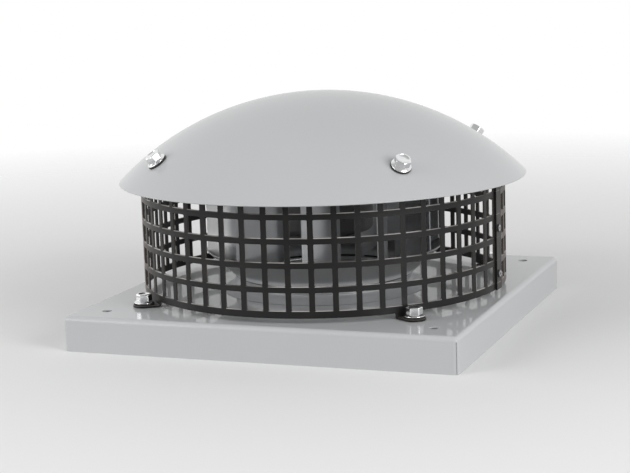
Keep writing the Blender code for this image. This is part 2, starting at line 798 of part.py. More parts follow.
def stator():
    inner = TUBE_RADIUS + SEAT_GAP
    core = ring_profile(inner, CORE_RADIUS, CORE_BOTTOM, CORE_TOP)
    turned("stator_core", core, STEEL, steps=SMALL_STEPS)
    outer = CORE_RADIUS - WINDING_INSET
    coil = inner + WINDING_INSET
    for name, bottom in (
        ("winding_lower", CORE_BOTTOM - SEAT_GAP - WINDING_HEIGHT),
        ("winding_upper", CORE_TOP + SEAT_GAP),
    ):
        middle = ((coil + outer) / 2, bottom + WINDING_HEIGHT / 2)
        ring = ellipse_arc(middle, (outer - coil) / 2, WINDING_HEIGHT / 2, 180, -120, 5)
        turned(name, ring, COPPER, steps=BOLT_STEPS)


def bearings():
    for name, bottom in (
        ("bearing_lower", TUBE_BOTTOM),
        ("bearing_upper", FLANGE_TOP - BEARING_WIDTH),
    ):
        ring = ring_profile(SHAFT_RADIUS + SEAT_GAP, BEARING_RADIUS, bottom, bottom + BEARING_WIDTH)
        turned(name, ring, STEEL, steps=BOLT_STEPS)


def rotor_can():
    """The motor's turning outer can, closed at the inlet side, with a hub for the shaft."""
    bore = SHAFT_RADIUS + SEAT_GAP
    inside = CAN_RADIUS - CAN_WALL
    edge = (CAN_RADIUS - CAN_EDGE, CAN_BOTTOM + CAN_EDGE)
    profile = [(bore, CAN_INSIDE), (inside - CAN_EDGE / 2, CAN_INSIDE)]
    profile += [(inside, CAN_INSIDE + CAN_EDGE / 2), (inside, CAN_TOP), (CAN_RADIUS, CAN_TOP)]
    profile += ellipse_arc(edge, CAN_EDGE, CAN_EDGE, 0, -90, 3)
    profile += [(bore, CAN_BOTTOM)]
    can = turned("rotor_can", profile, MOTOR_BLACK, steps=SMALL_STEPS)
    return [can]


def rotor_core_and_shaft():
    ring = ring_profile(ROTOR_RING_INNER, ROTOR_RING_OUTER, CORE_BOTTOM, CORE_TOP)
    core = turned("rotor_core", ring, STEEL, steps=SMALL_STEPS)
    profile = [(0, FLANGE_TOP), (SHAFT_RADIUS, FLANGE_TOP), (SHAFT_RADIUS, CAN_BOTTOM)]
    profile += [(0, CAN_BOTTOM)]
    shaft = turned("shaft", profile, STEEL, closed=False, steps=BOLT_STEPS)
    return [core, shaft]


def upright_edges(bm):
    return [edge for edge in bm.edges if abs(edge.verts[0].co.z - edge.verts[1].co.z) > MM]


def block(bottom, height):
    """A block as long and wide as the connection box, with its upright edges rounded."""
    bm = bmesh.new()
    bmesh.ops.create_cube(bm, size=1)
    bmesh.ops.scale(bm, verts=bm.verts, vec=(BOX_LENGTH, BOX_WIDTH, height))
    bmesh.ops.translate(bm, verts=bm.verts, vec=(0, 0, bottom + height / 2))
    edges = upright_edges(bm)
    bmesh.ops.bevel(bm, geom=edges, offset=BOX_CORNER, affect="EDGES", segments=2, profile=0.5)
    return bm


def terminal_box():
    """The connection box on the motor plate, its lid, and the gland for the supply lead."""
    floor = PLATE_LEVEL + PLATE_SHEET / 2 + SEAT_GAP
    middle = floor + BOX_HEIGHT / 2
    wall = BOX_LENGTH / 2
    bm = block(floor, BOX_HEIGHT)
    top = [face for face in bm.faces if face.normal.z > 0.5]
    bmesh.ops.delete(bm, geom=top, context="FACES_ONLY")
    box = add_object("terminal_box", mesh_of("terminal_box", bm), PLASTIC)
    thicken(box, BOX_WALL)
    openings = [
        ((wall, 0, middle), (1, 0, 0), GLAND_RADIUS + HOLE_CLEARANCE, 4 * BOX_WALL),
        ((0, 0, floor), (0, 0, 1), CABLE_HOLE, 4 * BOX_WALL),
    ]
    combine(box, hole_cutter("box_opening_cutter", openings))
    lid = block(floor + BOX_HEIGHT + SEAT_GAP, 2 * BOX_WALL)
    add_object("terminal_lid", mesh_of("terminal_lid", lid), PLASTIC)
    profile = [(GLAND_BORE, GLAND_LENGTH), (0.8 * GLAND_RADIUS, GLAND_LENGTH)]
    profile += [(GLAND_NUT, GLAND_LENGTH - GLAND_TAPER), (GLAND_NUT, SEAT_GAP)]
    profile += [(GLAND_RADIUS, SEAT_GAP), (GLAND_RADIUS, -GLAND_INSIDE)]
    profile += [(GLAND_BORE, -GLAND_INSIDE)]
    gland = turned("cable_gland", profile, PLASTIC, steps=BOLT_STEPS)
    stand(gland, (wall, 0, middle), (1, 0, 0))


# Impeller


def impeller_backplate():
    """The disc that carries the blades, with a collar round the rotor can."""
    inner = CAN_RADIUS + SEAT_GAP
    bottom = BACKPLATE_TOP - IMPELLER_SHEET
    collar = inner + IMPELLER_SHEET
    profile = [(inner, BACKPLATE_TOP), (IMPELLER_RADIUS, BACKPLATE_TOP)]
    profile += [(IMPELLER_RADIUS, bottom), (collar, bottom)]
    profile += [(collar, bottom - BACKPLATE_COLLAR), (inner, bottom - BACKPLATE_COLLAR)]
    return [turned("impeller_backplate", profile, GALVANISED)]


def shroud_curve(offset=0.0):
    """The shroud's outer face, a cone that bends down to the eye, or a curve this far inside it."""
    eye = EYE_RADIUS + IMPELLER_SHEET
    centre = (eye + SHROUD_BEND, EYE_BOTTOM + SHROUD_COLLAR)
    reach = SHROUD_BEND + offset
    bend = ellipse_arc(centre, reach, reach, 90 + math.degrees(SHROUD_SLOPE), 180, SHROUD_ARCS)
    radius, height = bend[0]
    rim = IMPELLER_RADIUS - offset * math.sin(SHROUD_SLOPE)
    top = height + (rim - radius) * math.tan(SHROUD_SLOPE)
    return [(rim, top), *bend, (eye - offset, EYE_BOTTOM)]


def impeller_shroud():
    """The spun ring round the lower edges of the blades, with the inlet eye in it."""
    profile = shroud_curve()
    return [turned("impeller_shroud", profile, GALVANISED, closed=False, sheet=IMPELLER_SHEET)]


def blade_plan(part):
    """A point of a blade's plan, from its tip at 0 to its inner edge at 1: a chord, bowed outwards."""
    tip = around(0, IMPELLER_RADIUS - BLADE_TIP_INSET, 0)
    chord = around(BLADE_SWEEP, BLADE_INNER_RADIUS, 0) - tip
    outward = Vector((chord.y, -chord.x, 0)).normalized()
    return tip + chord * part + outward * (4 * BLADE_BOW * part * (1 - part))


def part_at_radius(radius):
    """The part of a blade's plan that lies at a radius, found by halving."""
    low, high = 0.0, 1.0
    for _ in range(30):
        middle = (low + high) / 2
        if blade_plan(middle).length > radius:
            low = middle
        else:
            high = middle
    return low


def blade_stations():
    """Points along a blade with the height of its lower edge, which follows the shroud."""
    cone, *bend = shroud_curve(IMPELLER_SHEET)[1:-1]
    lowest = NOZZLE_TOP + RUNNING_GAP
    tip_radius = blade_plan(0).length
    stations = []
    for step in range(BLADE_STEPS + 1):
        inner = cone[0] - BLADE_CLEARANCE
        radius = tip_radius + (inner - tip_radius) * step / BLADE_STEPS
        floor = cone[1] + (radius - inner) * math.tan(SHROUD_SLOPE) + SEAT_GAP
        stations.append((blade_plan(part_at_radius(radius)), floor))
    for radius, height in bend:
        point = blade_plan(part_at_radius(radius - BLADE_CLEARANCE))
        stations.append((point, max(height + SEAT_GAP, lowest)))
    stations.append((blade_plan(1), lowest))
    return stations


def impeller_blades():
    """Backward-curved blades between the backplate and the shroud, all from one mesh."""
    stations = blade_stations()
    bm = bmesh.new()
    bmesh.ops.create_grid(bm, x_segments=len(stations) - 1, y_segments=1, size=1)
    for vert in bm.verts:
        point, floor = stations[round((vert.co.x + 1) / 2 * (len(stations) - 1))]
        vert.co = Vector((point.x, point.y, BLADE_TOP if vert.co.y > 0 else floor))
    mesh = mesh_of("impeller_blade", bm)
    blades = []
    for index in range(BLADE_COUNT):
        blade = add_object(f"impeller_blade_{index + 1:02d}", mesh, GALVANISED)
        thicken(blade, BLADE_SHEET, offset=0.0)
        blade.rotation_euler = (0, 0, BLADE_PHASE + 2 * math.pi * index / BLADE_COUNT)
        blades.append(blade)
    return blades


def spin_together(pieces):
    """Parents every turning piece to an empty on the shaft's axis."""
    axis = bpy.data.objects.new("rotor_axis", None)
    axis.location = (0, 0, CAN_BOTTOM)
    PARTS.objects.link(axis)
    for piece in pieces:
        piece.parent = axis
        piece.matrix_parent_inverse = Matrix.Translation((0, 0, -CAN_BOTTOM))


clear_scene()
PARTS = new_collection("roof_exhaust_fan")
CUTTERS = new_collection("cutters")
PAINT = finish("light_grey_paint", (0.56, 0.57, 0.58), 0.35, 0.0)
BLACK_PAINT = finish("black_paint", (0.03, 0.03, 0.032), 0.4, 0.0)
ZINC_SHEET = finish("zinc_sheet", (0.62, 0.63, 0.64), 0.35, 0.9)
GALVANISED = finish("galvanised_sheet", (0.6, 0.61, 0.62), 0.4, 0.9)
STEEL = finish("plated_steel", (0.75, 0.75, 0.76), 0.2, 1.0)
ALUMINIUM = finish("cast_aluminium", (0.7, 0.7, 0.7), 0.45, 0.9)
COPPER = finish("enamelled_copper", (0.6, 0.25, 0.1), 0.4, 0.8)
RUBBER = finish("black_rubber", (0.03, 0.03, 0.03), 0.8, 0.0)
PLASTIC = finish("black_plastic", (0.05, 0.05, 0.05), 0.5, 0.0)
MOTOR_BLACK = finish("motor_paint", (0.04, 0.04, 0.045), 0.5, 0.0)

EAR_HOLES = ear_holes()
DOME_HOLES = dome_holes()
MOTOR_HOLES = motor_holes()

base_tray()
inlet_nozzle()
guard_cage()
seam_rivets()
dome_cap()
BOLT_MESH = flange_bolt_mesh()
WASHER_MESH = washer_mesh()
NUT_MESH = nut_mesh()
guard_fasteners(BOLT_MESH, WASHER_MESH, NUT_MESH)
dome_fasteners(BOLT_MESH, WASHER_MESH, NUT_MESH)
motor_plate()
motor_screws()
stator_flange()
stator()
bearings()
terminal_box()
turning = rotor_can() + rotor_core_and_shaft() + impeller_backplate() + impeller_shroud()
spin_together(turning + impeller_blades())
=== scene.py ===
"""Roof exhaust fan on a pale floor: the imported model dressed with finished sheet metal, fasteners
and an impeller, and seen from the photograph's angle.

Metres, +Z up. Each piece is made in place, so every object sits at the origin.
"""

import json
import math

import bmesh
import bpy
from mathutils import Matrix, Vector

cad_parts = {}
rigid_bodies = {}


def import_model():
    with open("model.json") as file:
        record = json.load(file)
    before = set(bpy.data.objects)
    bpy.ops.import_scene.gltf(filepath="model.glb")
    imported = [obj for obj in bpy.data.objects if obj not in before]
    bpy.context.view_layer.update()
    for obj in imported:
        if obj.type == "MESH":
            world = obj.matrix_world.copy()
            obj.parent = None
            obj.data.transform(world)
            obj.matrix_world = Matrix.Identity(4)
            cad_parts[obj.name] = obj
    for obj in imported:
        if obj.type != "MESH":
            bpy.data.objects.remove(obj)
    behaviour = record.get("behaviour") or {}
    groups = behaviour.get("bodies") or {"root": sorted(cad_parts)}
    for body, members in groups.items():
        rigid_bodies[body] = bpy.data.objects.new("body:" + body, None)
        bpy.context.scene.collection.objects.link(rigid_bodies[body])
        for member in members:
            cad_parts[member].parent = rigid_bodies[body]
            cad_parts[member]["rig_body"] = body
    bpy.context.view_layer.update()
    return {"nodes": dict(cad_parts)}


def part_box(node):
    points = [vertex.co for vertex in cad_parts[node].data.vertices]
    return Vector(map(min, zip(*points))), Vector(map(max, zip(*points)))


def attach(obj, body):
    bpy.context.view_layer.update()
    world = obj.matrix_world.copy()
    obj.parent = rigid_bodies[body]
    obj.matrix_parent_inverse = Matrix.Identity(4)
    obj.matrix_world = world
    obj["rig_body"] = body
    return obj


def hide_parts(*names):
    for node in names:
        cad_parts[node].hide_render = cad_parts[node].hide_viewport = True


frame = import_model()

MM = 0.001

# The camera's place and angles in degrees, solved from the photograph
CAMERA_PLACE = (0.5584, -1.4811, 0.3525)
CAMERA_AZIMUTH = 20.975
CAMERA_ELEVATION = 9.862
CAMERA_ROLL = -1.849
CAMERA_LENS = 98.39
CAMERA_SENSOR = 36

# Base tray
TRAY_SIDE = 360 * MM
TRAY_HEIGHT = 31.5 * MM
TRAY_SHEET = 1.5 * MM
TRAY_BEND = 4.5 * MM
CORNER_SLIT = 0.9 * MM
SLIT_OVERCUT = 0.05 * MM
FIXING_RADIUS = 4.5 * MM
FIXING_INSET = 28.8 * MM
DECK = TRAY_HEIGHT
SEAT_GAP = 0.3 * MM

# Inlet nozzle
NOZZLE_RADIUS = 77.2 * MM
NOZZLE_SHEET = 1.2 * MM
NOZZLE_COLLAR = 4.0 * MM
NOZZLE_FLARE = 10 * MM
NOZZLE_FLANGE = 8 * MM
NOZZLE_TAPER = 4 * MM
NOZZLE_RIM = 0.2 * MM

# Guard
GUARD_RADIUS = 167.5 * MM
GUARD_SHEET = 1.5 * MM
GUARD_LIFT = 4.8 * MM
GUARD_FOOT_BAND = 6.7 * MM
GUARD_TOP_CLEARANCE = 6.3 * MM
GUARD_TOP_BAND = 4.0 * MM
GUARD_ROUND = 2 * math.pi * GUARD_RADIUS
HOLE_WIDTH = 15.0 * MM
HOLE_HEIGHT = 15.2 * MM
HOLE_CORNER = 0.9 * MM
COLUMN_PITCH = 20.0 * MM
ROW_PITCH = 20.7 * MM
FIRST_ROW = DECK + GUARD_LIFT + GUARD_FOOT_BAND
SEAM_ANGLE = math.radians(-2.9)
SEAM_LAP = 12.5 * MM
SHEET_BEND = 2.0 * MM
EAR_WIDTH = 24.0 * MM
EAR_REACH = 11.5 * MM
EAR_END = 10.0 * MM
TAB_REACH = 7.5 * MM
EAR_LEVEL = DECK + SEAT_GAP + GUARD_SHEET / 2
RIVET_EDGE = 5.0 * MM
RIVET_RADIUS = 1.9 * MM
RIVET_HEAD = 3.6 * MM
RIVET_CROWN = 1.4 * MM
RIVET_SEAT = GUARD_RADIUS + 1.5 * GUARD_SHEET + 1.2 * SEAT_GAP
RIVET_GRIP = 2 * GUARD_SHEET + 3 * SEAT_GAP

# Domed cap
DOME_RIM_RADIUS = 188 * MM
DOME_RIM_HEIGHT = 104 * MM
DOME_RISE = 77.5 * MM
DOME_SHEET = 1.5 * MM
DOME_SEAT_GAP = 1.3 * MM
DOME_SPHERE = (DOME_RIM_RADIUS**2 + DOME_RISE**2) / (2 * DOME_RISE)
DOME_CENTRE = DECK + DOME_RIM_HEIGHT + DOME_RISE - DOME_SPHERE
DOME_SLOPE = math.asin((GUARD_RADIUS - TAB_REACH) / DOME_SPHERE)

# Fasteners
BOLT_RADIUS = 4.0 * MM
BOLT_LENGTH = 16.0 * MM
BOLT_HEX = 13.0 * MM
HEX_CORNER = 1.115 * BOLT_HEX / 2
BOLT_HEAD = 8.3 * MM
BOLT_FLANGE = 9.0 * MM
FLANGE_RIM = 0.5 * MM
THREAD_PITCH = 1.25 * MM
THREAD_ROOT = 0.86 * BOLT_RADIUS
WASHER_RADIUS = 9.3 * MM
WASHER_SHEET = 1.0 * MM
NUT_HEIGHT = 6.5 * MM
NUT_CHAMFER = 1.0 * MM
SCREW_RADIUS = 2.5 * MM
SCREW_HEAD = 4.5 * MM
SCREW_CROWN = 2.8 * MM
SCREW_WALL = 0.8 * MM
SCREW_DEPTH = 5.0 * MM
SCREW_CIRCLE = 36 * MM

# Motor and its plate
PLATE_SHEET = 2.0 * MM
PLATE_HALF = 46 * MM
ARM_WIDTH = 20 * MM
ARM_ROOT = 18 * MM
ARM_SLOPE_START = GUARD_RADIUS - TAB_REACH - 14 * MM
ARM_END = 8.0 * MM
ARM_CORNER = 4 * MM
CABLE_HOLE = 8.0 * MM
BOX_WALL = 2.0 * MM
BOX_CORNER = 3.0 * MM
LID_MARGIN = 1.5 * MM
LID_SINK = 0.4 * MM
GLAND_RADIUS = 8 * MM
GLAND_BORE = 4.4 * MM
GLAND_COLLAR = 6.3 * MM
GLAND_NUT = 11 * MM
HOLE_CLEARANCE = 0.5 * MM
TAB_DEPTH = DOME_SHEET + DOME_SEAT_GAP + GUARD_SHEET / 2
ARM_DEPTH = TAB_DEPTH + GUARD_SHEET / 2 + SEAT_GAP + PLATE_SHEET / 2
NUT_DEPTH = ARM_DEPTH + PLATE_SHEET / 2 + SEAT_GAP
CAN_RADIUS = 46 * MM
CAN_WALL = 2 * MM
CAN_FLOOR = 4 * MM
CAN_EDGE = 6.0 * MM
BOSS_RING = 8 * MM
BOSS_SINK = 1.0 * MM
SHAFT_RADIUS = 4 * MM
SHAFT_CHAMFER = 0.5 * MM
TUBE_WALL = 4.7 * MM
ROTOR_CORE_WALL = 7 * MM
COIL_GAP = 2.5 * MM

# Impeller
IMPELLER_RADIUS = 110 * MM
IMPELLER_SHEET = 1.2 * MM
BACKPLATE_COLLAR = 8 * MM
BACKPLATE_BEND = 2 * MM
EYE_RADIUS = 79 * MM
SHROUD_COLLAR = 2.0 * MM
SHROUD_BEND = 5.0 * MM
SHROUD_SLOPE = math.radians(42)
# Height of the shroud's neck joint, where its painted highlight, painted shade and painted gap
# shadow start
NECK_JOINT = DECK + 13.0 * MM
BLADE_COUNT = 10
BLADE_INNER_RADIUS = 76 * MM
BLADE_TIP_INSET = 1.5 * MM
BLADE_SWEEP = math.radians(21)
BLADE_BOW = 4.0 * MM
BLADE_PHASE = math.radians(-80)
RUNNING_GAP = 2.0 * MM

# How far a piece's edges are broken
DOME_EDGE = 0.65 * MM
LID_EDGE = 0.4 * MM
CUT_EDGE = 0.3 * MM
TRAY_EDGE = 0.25 * MM
BLADE_EDGE = 0.2 * MM

CORNERS = [math.radians(angle) for angle in (-45, 45, 135, 225)]
# How far each bolt head was turned when it was tightened
HEAD_TURNS = [math.radians(angle) for angle in (36, 8, 47, 14)]
ROUND_STEPS = 144
DOME_STEPS = 192
SMALL_STEPS = 64
RIVET_STEPS = 32
HEXAGON_STEPS = 72
BEND_STEPS = 6
HOLE_TOOL_LENGTH = 6 * MM
MERGED = 0.001 * MM
SHARP_ANGLE = math.radians(34)
BROKEN_ANGLE = math.radians(40)

# How far under the guard's holes the painted highlight on their lower edges starts, and where it is
# full
EDGE_HIGHLIGHT_FROM = 0.75 * MM
EDGE_HIGHLIGHT_FULLY = 0.5 * MM
# Galvanised sheet is painted paler towards one side, where light falls on it: a direction, and how
# far along it that changes
PAINTED_LIGHT_SIDE = (0.93, 0.36)
PAINTED_LIGHT_FROM = -84 * MM
PAINTED_LIGHT_FULLY = -89 * MM

# The room's brightness low down in front and behind, and overhead
ROOM_FRONT = 0.2
ROOM_BACK = 0.42
ROOM_TOP = 0.52
# The floor fades out between these distances from the axis
FLOOR_FADE = (0.35, 1.5)
LAMP_TARGET = Vector((0, 0, 0.08))
# Each square soft box: its name, place, side and power in watts
LAMPS = (
    ("key", (1.9, -0.9, 0.72), 1.2, 26),
    ("fill", (-1.3, -1.5, 0.75), 1.2, 16),
    ("side", (-2.0, -0.35, 0.5), 0.8, 7),
)


# Shader maths


class Signal:
    """A socket in a node tree, with the operators that its maths uses."""

    def __init__(self, tree, socket):
        self.tree = tree
        self.socket = socket

    def __add__(self, other):
        return self.tree.maths("ADD", self, other)

    def __radd__(self, other):
        return self.tree.maths("ADD", other, self)

    def __sub__(self, other):
        return self.tree.maths("SUBTRACT", self, other)

    def __rsub__(self, other):
        return self.tree.maths("SUBTRACT", other, self)

    def __mul__(self, other):
        return self.tree.maths("MULTIPLY", self, other)

    def __rmul__(self, other):
        return self.tree.maths("MULTIPLY", other, self)

    def __truediv__(self, other):
        return self.tree.maths("DIVIDE", self, other)

    def __rtruediv__(self, other):
        return self.tree.maths("DIVIDE", other, self)

    def __pow__(self, other):
        return self.tree.maths("POWER", self, other)

    def __rpow__(self, other):
        return self.tree.maths("POWER", other, self)


class NodeTree:
    """The nodes of a material or of the world, all made by one method."""

    def __init__(self, owner):
        owner.use_nodes = True
        self.nodes = owner.node_tree.nodes
        self.links = owner.node_tree.links

    def feed(self, socket, value):
        if isinstance(value, Signal):
            self.links.new(value.socket, socket)
        else:
            socket.default_value = value

    def node(self, kind, settings=None, inputs=None, output=0):
        """A node with its settings, then the values or links of its sockets."""
        made = self.nodes.new(kind)
        for key, value in (settings or {}).items():
            setattr(made, key, value)
        for key, value in (inputs or {}).items():
            self.feed(made.inputs[key], value)
        return Signal(self, made.outputs[output])

    def maths(self, operation, *values):
        return self.node("ShaderNodeMath", {"operation": operation}, dict(enumerate(values)))

    def split(self, vector):
        """The x, y and z of a vector."""
        return [self.node("ShaderNodeSeparateXYZ", None, {0: vector}, name) for name in "XYZ"]

    def span(self, value, low, high, start, end):
        """The value's range from low to high made into one from start to end, and held there."""
        values = {"Value": value, 1: low, 2: high, 3: start, 4: end}
        return self.node("ShaderNodeMapRange", {"clamp": True}, values)

    def rays(self):
        """Whether a ray is the camera's own, is mirrored, or went through something clear."""
        names = ("Is Camera Ray", "Is Glossy Ray", "Is Transmission Ray")
        return [self.node("ShaderNodeLightPath", output=name) for name in names]


class Finish(NodeTree):
    """A material, named in a maker's words, and the record's slot that it stands for; the slot is
    kept but not used.
    """

    def __init__(self, name, slot):
        self.slot = slot
        self.material = bpy.data.materials.new(name)
        super().__init__(self.material)
        self.shader = self.nodes["Principled BSDF"]

    def place(self):
        return self.node("ShaderNodeTexCoord", output="Object")

    def axes(self):
        return self.split(self.place())

    def radius(self):
        """Distance from the fan's axis."""
        x, y, _ = self.axes()
        return (x * x + y * y) ** 0.5

    def noise(self, scale, detail, roughness=0.55, place=None):
        place = place or self.place()
        values = {"Vector": place, "Scale": scale, "Detail": detail, "Roughness": roughness}
        return self.node("ShaderNodeTexNoise", None, values)

    def stretched(self, scale):
        """The piece's own coordinates, stretched along its axes."""
        return self.node("ShaderNodeMapping", None, {"Vector": self.place(), "Scale": scale})

    def follow(self, noise, start, end):
        """A value from start to end over most of a noise's own range."""
        return self.span(noise, 0.3, 0.7, start, end)

    def blend(self, factor, first, second):
        """One colour going over into another. A Mix node's colours are sockets 6, 7 and 2."""
        values = {0: factor, 6: first, 7: second}
        return self.node("ShaderNodeMix", {"data_type": "RGBA"}, values, 2)

    def bump(self, height, distance, strength):
        values = {"Height": height, "Distance": distance, "Strength": strength}
        return self.node("ShaderNodeBump", None, values)

    def set(self, **values):
        """Feeds the shader's sockets, named in lower case."""
        for key, value in values.items():
            socket = key.replace("_", " ").title().replace("Ior", "IOR")
            self.feed(self.shader.inputs[socket], value)


def grey(level, warmth=0.0):
    return (level * (1 + warmth), level, level * (1 - warmth), 1)


# Finishes


def guard_columns():
    """Where the holes start along the strip, which begins at its outer lap."""
    count = int(GUARD_ROUND / COLUMN_PITCH)
    band = GUARD_ROUND - count * COLUMN_PITCH + COLUMN_PITCH - HOLE_WIDTH
    first = SEAM_LAP / 2 + band / 2
    return [first + column * COLUMN_PITCH for column in range(count)]


def light_grey_paint():
    """Gloss powder coat: an even light grey with a faint orange peel."""
    finish = Finish("light grey powder coat", "light_grey_paint")
    cloud = finish.noise(9, detail=3)
    peel = finish.noise(420, detail=2, roughness=0.5)
    finish.set(
        base_color=finish.blend(cloud, grey(0.53, -0.014), grey(0.55, -0.016)),
        roughness=finish.follow(cloud, 0.28, 0.34),
        normal=finish.bump(peel, 0.006 * MM, 0.4),
        specular_ior_level=0.05,
        coat_weight=0.42,
        coat_roughness=0.03,
    )
    return finish


def black_paint():
    """Satin black coat over a punched sheet, glossier on its cut walls, which carry a painted brown
    sheen, and with painted highlights along its holes' lower edges.
    """
    finish = Finish("black powder coat", "black_paint")
    cloud = finish.noise(22, detail=3)
    grain = finish.noise(900, detail=2)
    dust = finish.span(finish.noise(60, detail=5), 0.52, 0.75, 0, 0.5)
    wall = finish.maths("ABSOLUTE", finish.radius() - GUARD_RADIUS)
    cut_edge = finish.span(wall, 0.36 * GUARD_SHEET, 0.40 * GUARD_SHEET, 1, 0)
    colour = finish.blend(cloud, grey(0.009, 0.02), grey(0.012, 0.03))
    colour = finish.blend(dust, colour, (0.023, 0.020, 0.018, 1))
    # Painted sheen: a lighter brown on the cut walls of the holes, standing for light caught at a
    # glancing angle.
    colour = finish.blend(cut_edge, colour, (0.085, 0.074, 0.066, 1))
    # Painted highlight: a pale grey along the holes' lower cut edges, standing for light caught
    # there.
    colour = finish.blend(painted_edge_highlights(finish), colour, (0.50, 0.48, 0.46, 1))
    finish.set(
        base_color=colour,
        roughness=finish.follow(cloud, 0.36, 0.46) - cut_edge * 0.14,
        normal=finish.bump(grain, 0.04 * MM, 0.6),
        specular_ior_level=0.26,
        sheen_weight=0.8,
        sheen_roughness=0.25,
        sheen_tint=(0.85, 0.74, 0.66, 1),
    )
    return finish


def painted_edge_highlights(finish):
    """A mask of the guard's holes' lower edges, where a highlight is painted, broken up in places.
    """
    x, y, height = finish.axes()
    along = (finish.maths("ARCTAN2", y, x) - SEAM_ANGLE) * GUARD_RADIUS + SEAM_LAP / 2
    place = (finish.maths("WRAP", along, GUARD_ROUND, 0.0) - guard_columns()[0]) / COLUMN_PITCH
    hole = finish.maths("LESS_THAN", finish.maths("FRACT", place), HOLE_WIDTH / COLUMN_PITCH)
    above = finish.maths("FRACT", (height - FIRST_ROW) / ROW_PITCH)
    edge = finish.span(above, 1 - EDGE_HIGHLIGHT_FROM / ROW_PITCH, 1 - EDGE_HIGHLIGHT_FULLY / ROW_PITCH, 0, 1)
    return edge * hole * finish.span(finish.noise(16, detail=3), 0.42, 0.58, 0.1, 0.9)


def black_rivet():
    """A blind rivet that was coated with the guard and rubbed bright on its crown."""
    finish = Finish("black-coated rivet", "zinc_sheet")
    crown = finish.radius() - RIVET_SEAT
    rubbed = finish.span(crown, 0.8 * RIVET_CROWN, 0.97 * RIVET_CROWN, 0, 1)
    wear = rubbed * finish.span(finish.noise(900, detail=3), 0.35, 0.5, 0.4, 1)
    finish.set(
        base_color=finish.blend(wear, grey(0.012), grey(0.5)),
        roughness=finish.span(wear, 0, 1, 0.34, 0.2),
        metallic=wear,
        normal=finish.bump(finish.noise(1500, detail=2), 0.02 * MM, 0.3),
    )
    return finish


def turned_zinc():
    """Zinc-plated steel with the fine rings that spinning leaves."""
    finish = Finish("spun zinc-plated steel", "zinc_sheet")
    rings = finish.noise(1, detail=2, place=ring_lines(finish, 900))
    cloud = finish.noise(30, detail=3)
    finish.set(
        base_color=finish.blend(cloud, (0.52, 0.53, 0.55, 1), (0.59, 0.60, 0.61, 1)),
        metallic=0.5,
        roughness=finish.span(rings + cloud, 0.7, 1.3, 0.5, 0.58),
        normal=finish.bump(rings, 0.004 * MM, 0.3),
    )
    return finish


def ring_lines(finish, density):
    """Coordinates that change with the distance from the axis and slowly with height."""
    _, _, height = finish.axes()
    values = {0: finish.radius() * density, 1: height * (density / 2), 2: 0.0}
    return finish.node("ShaderNodeCombineXYZ", None, values)


def galvanised(name="galvanised sheet", joined=False):
    """Smooth galvanised sheet, a little cloudy, with faint upright rolling lines and one side
    painted paler where light falls on it.

    Joined is the shroud: a highlight band painted just over the joint of its neck, painted shade
    higher up, and a dark line painted at the joint for the shadow of a gap there.
    """
    finish = Finish(name, "galvanised_sheet")
    cloud = finish.noise(14, detail=2)
    lines = finish.noise(60, detail=1, place=finish.stretched((1, 1, 0.02)))
    mixed = cloud * 0.7 + lines * 0.3
    colour = finish.blend(mixed, (0.51, 0.52, 0.54, 1), (0.61, 0.62, 0.63, 1))
    x, y, height = finish.axes()
    across = x * PAINTED_LIGHT_SIDE[0] + y * PAINTED_LIGHT_SIDE[1]
    # Painted light: the side towards the light is blended to a near-white grey.
    colour = finish.blend(finish.span(across, PAINTED_LIGHT_FULLY, PAINTED_LIGHT_FROM, 1, 0), colour, grey(0.97))
    if joined:
        over = height - NECK_JOINT
        # Painted light on the shroud's neck: shade painted darker higher up, a highlight band
        # painted just over the joint, and a near-black line painted at the joint for the shadow of
        # a gap.
        painted_shade_above = finish.span(over, 4 * MM, 9 * MM, 0, 1)
        painted_highlight_band = finish.span(over, 0, 1 * MM, 0, 1) * finish.span(over, 4 * MM, 7 * MM, 1, 0)
        line = finish.span(finish.maths("ABSOLUTE", over), 0.5 * MM, 0.9 * MM, 1, 0)
        colour = finish.blend(painted_shade_above, colour, grey(0.42))
        colour = finish.blend(painted_highlight_band, colour, grey(0.95))
        colour = finish.blend(line, colour, grey(0.03))
    finish.set(
        base_color=colour,
        metallic=0.75,
        roughness=finish.follow(mixed, 0.36, 0.3),
        normal=finish.bump(lines, 0.002 * MM, 0.2),
    )
    return finish


def bright_zinc():
    """Bright zinc plate on the bolts, with faint tool marks and a darker haze in places."""
    finish = Finish("bright zinc plate", "plated_steel")
    haze = finish.noise(160, detail=4)
    marks = finish.noise(700, detail=2, place=finish.stretched((1, 1, 6)))
    finish.set(
        base_color=finish.blend(haze, (0.66, 0.67, 0.69, 1), (0.92, 0.92, 0.91, 1)),
        metallic=1.0,
        roughness=finish.follow(haze, 0.15, 0.21),
        normal=finish.bump(marks, 0.015 * MM, 0.4),
    )
    return finish


def cast_aluminium():
    """Grainy sand-cast metal with a cloudy tone."""
    finish = Finish("cast aluminium", "cast_aluminium")
    grain = finish.noise(600, detail=5, roughness=0.65)
    cloud = finish.noise(50, detail=3)
    finish.set(
        base_color=finish.blend(cloud, (0.46, 0.46, 0.47, 1), (0.62, 0.62, 0.62, 1)),
        metallic=0.9,
        roughness=finish.follow(grain, 0.4, 0.6),
        normal=finish.bump(grain, 0.12 * MM, 0.7),
    )
    return finish


def copper_winding():
    """Varnished wire: fine strands round the coil under an uneven varnish."""
    finish = Finish("varnished copper wire", "enamelled_copper")
    _, _, height = finish.axes()
    strand = finish.maths("SINE", (finish.radius() + height) * 9000)
    varnish = finish.noise(90, detail=4)
    finish.set(
        base_color=finish.blend(varnish, (0.42, 0.13, 0.05, 1), (0.66, 0.27, 0.11, 1)),
        metallic=0.8,
        roughness=finish.follow(varnish, 0.25, 0.5),
        normal=finish.bump(strand, 0.1 * MM, 0.8),
    )
    return finish


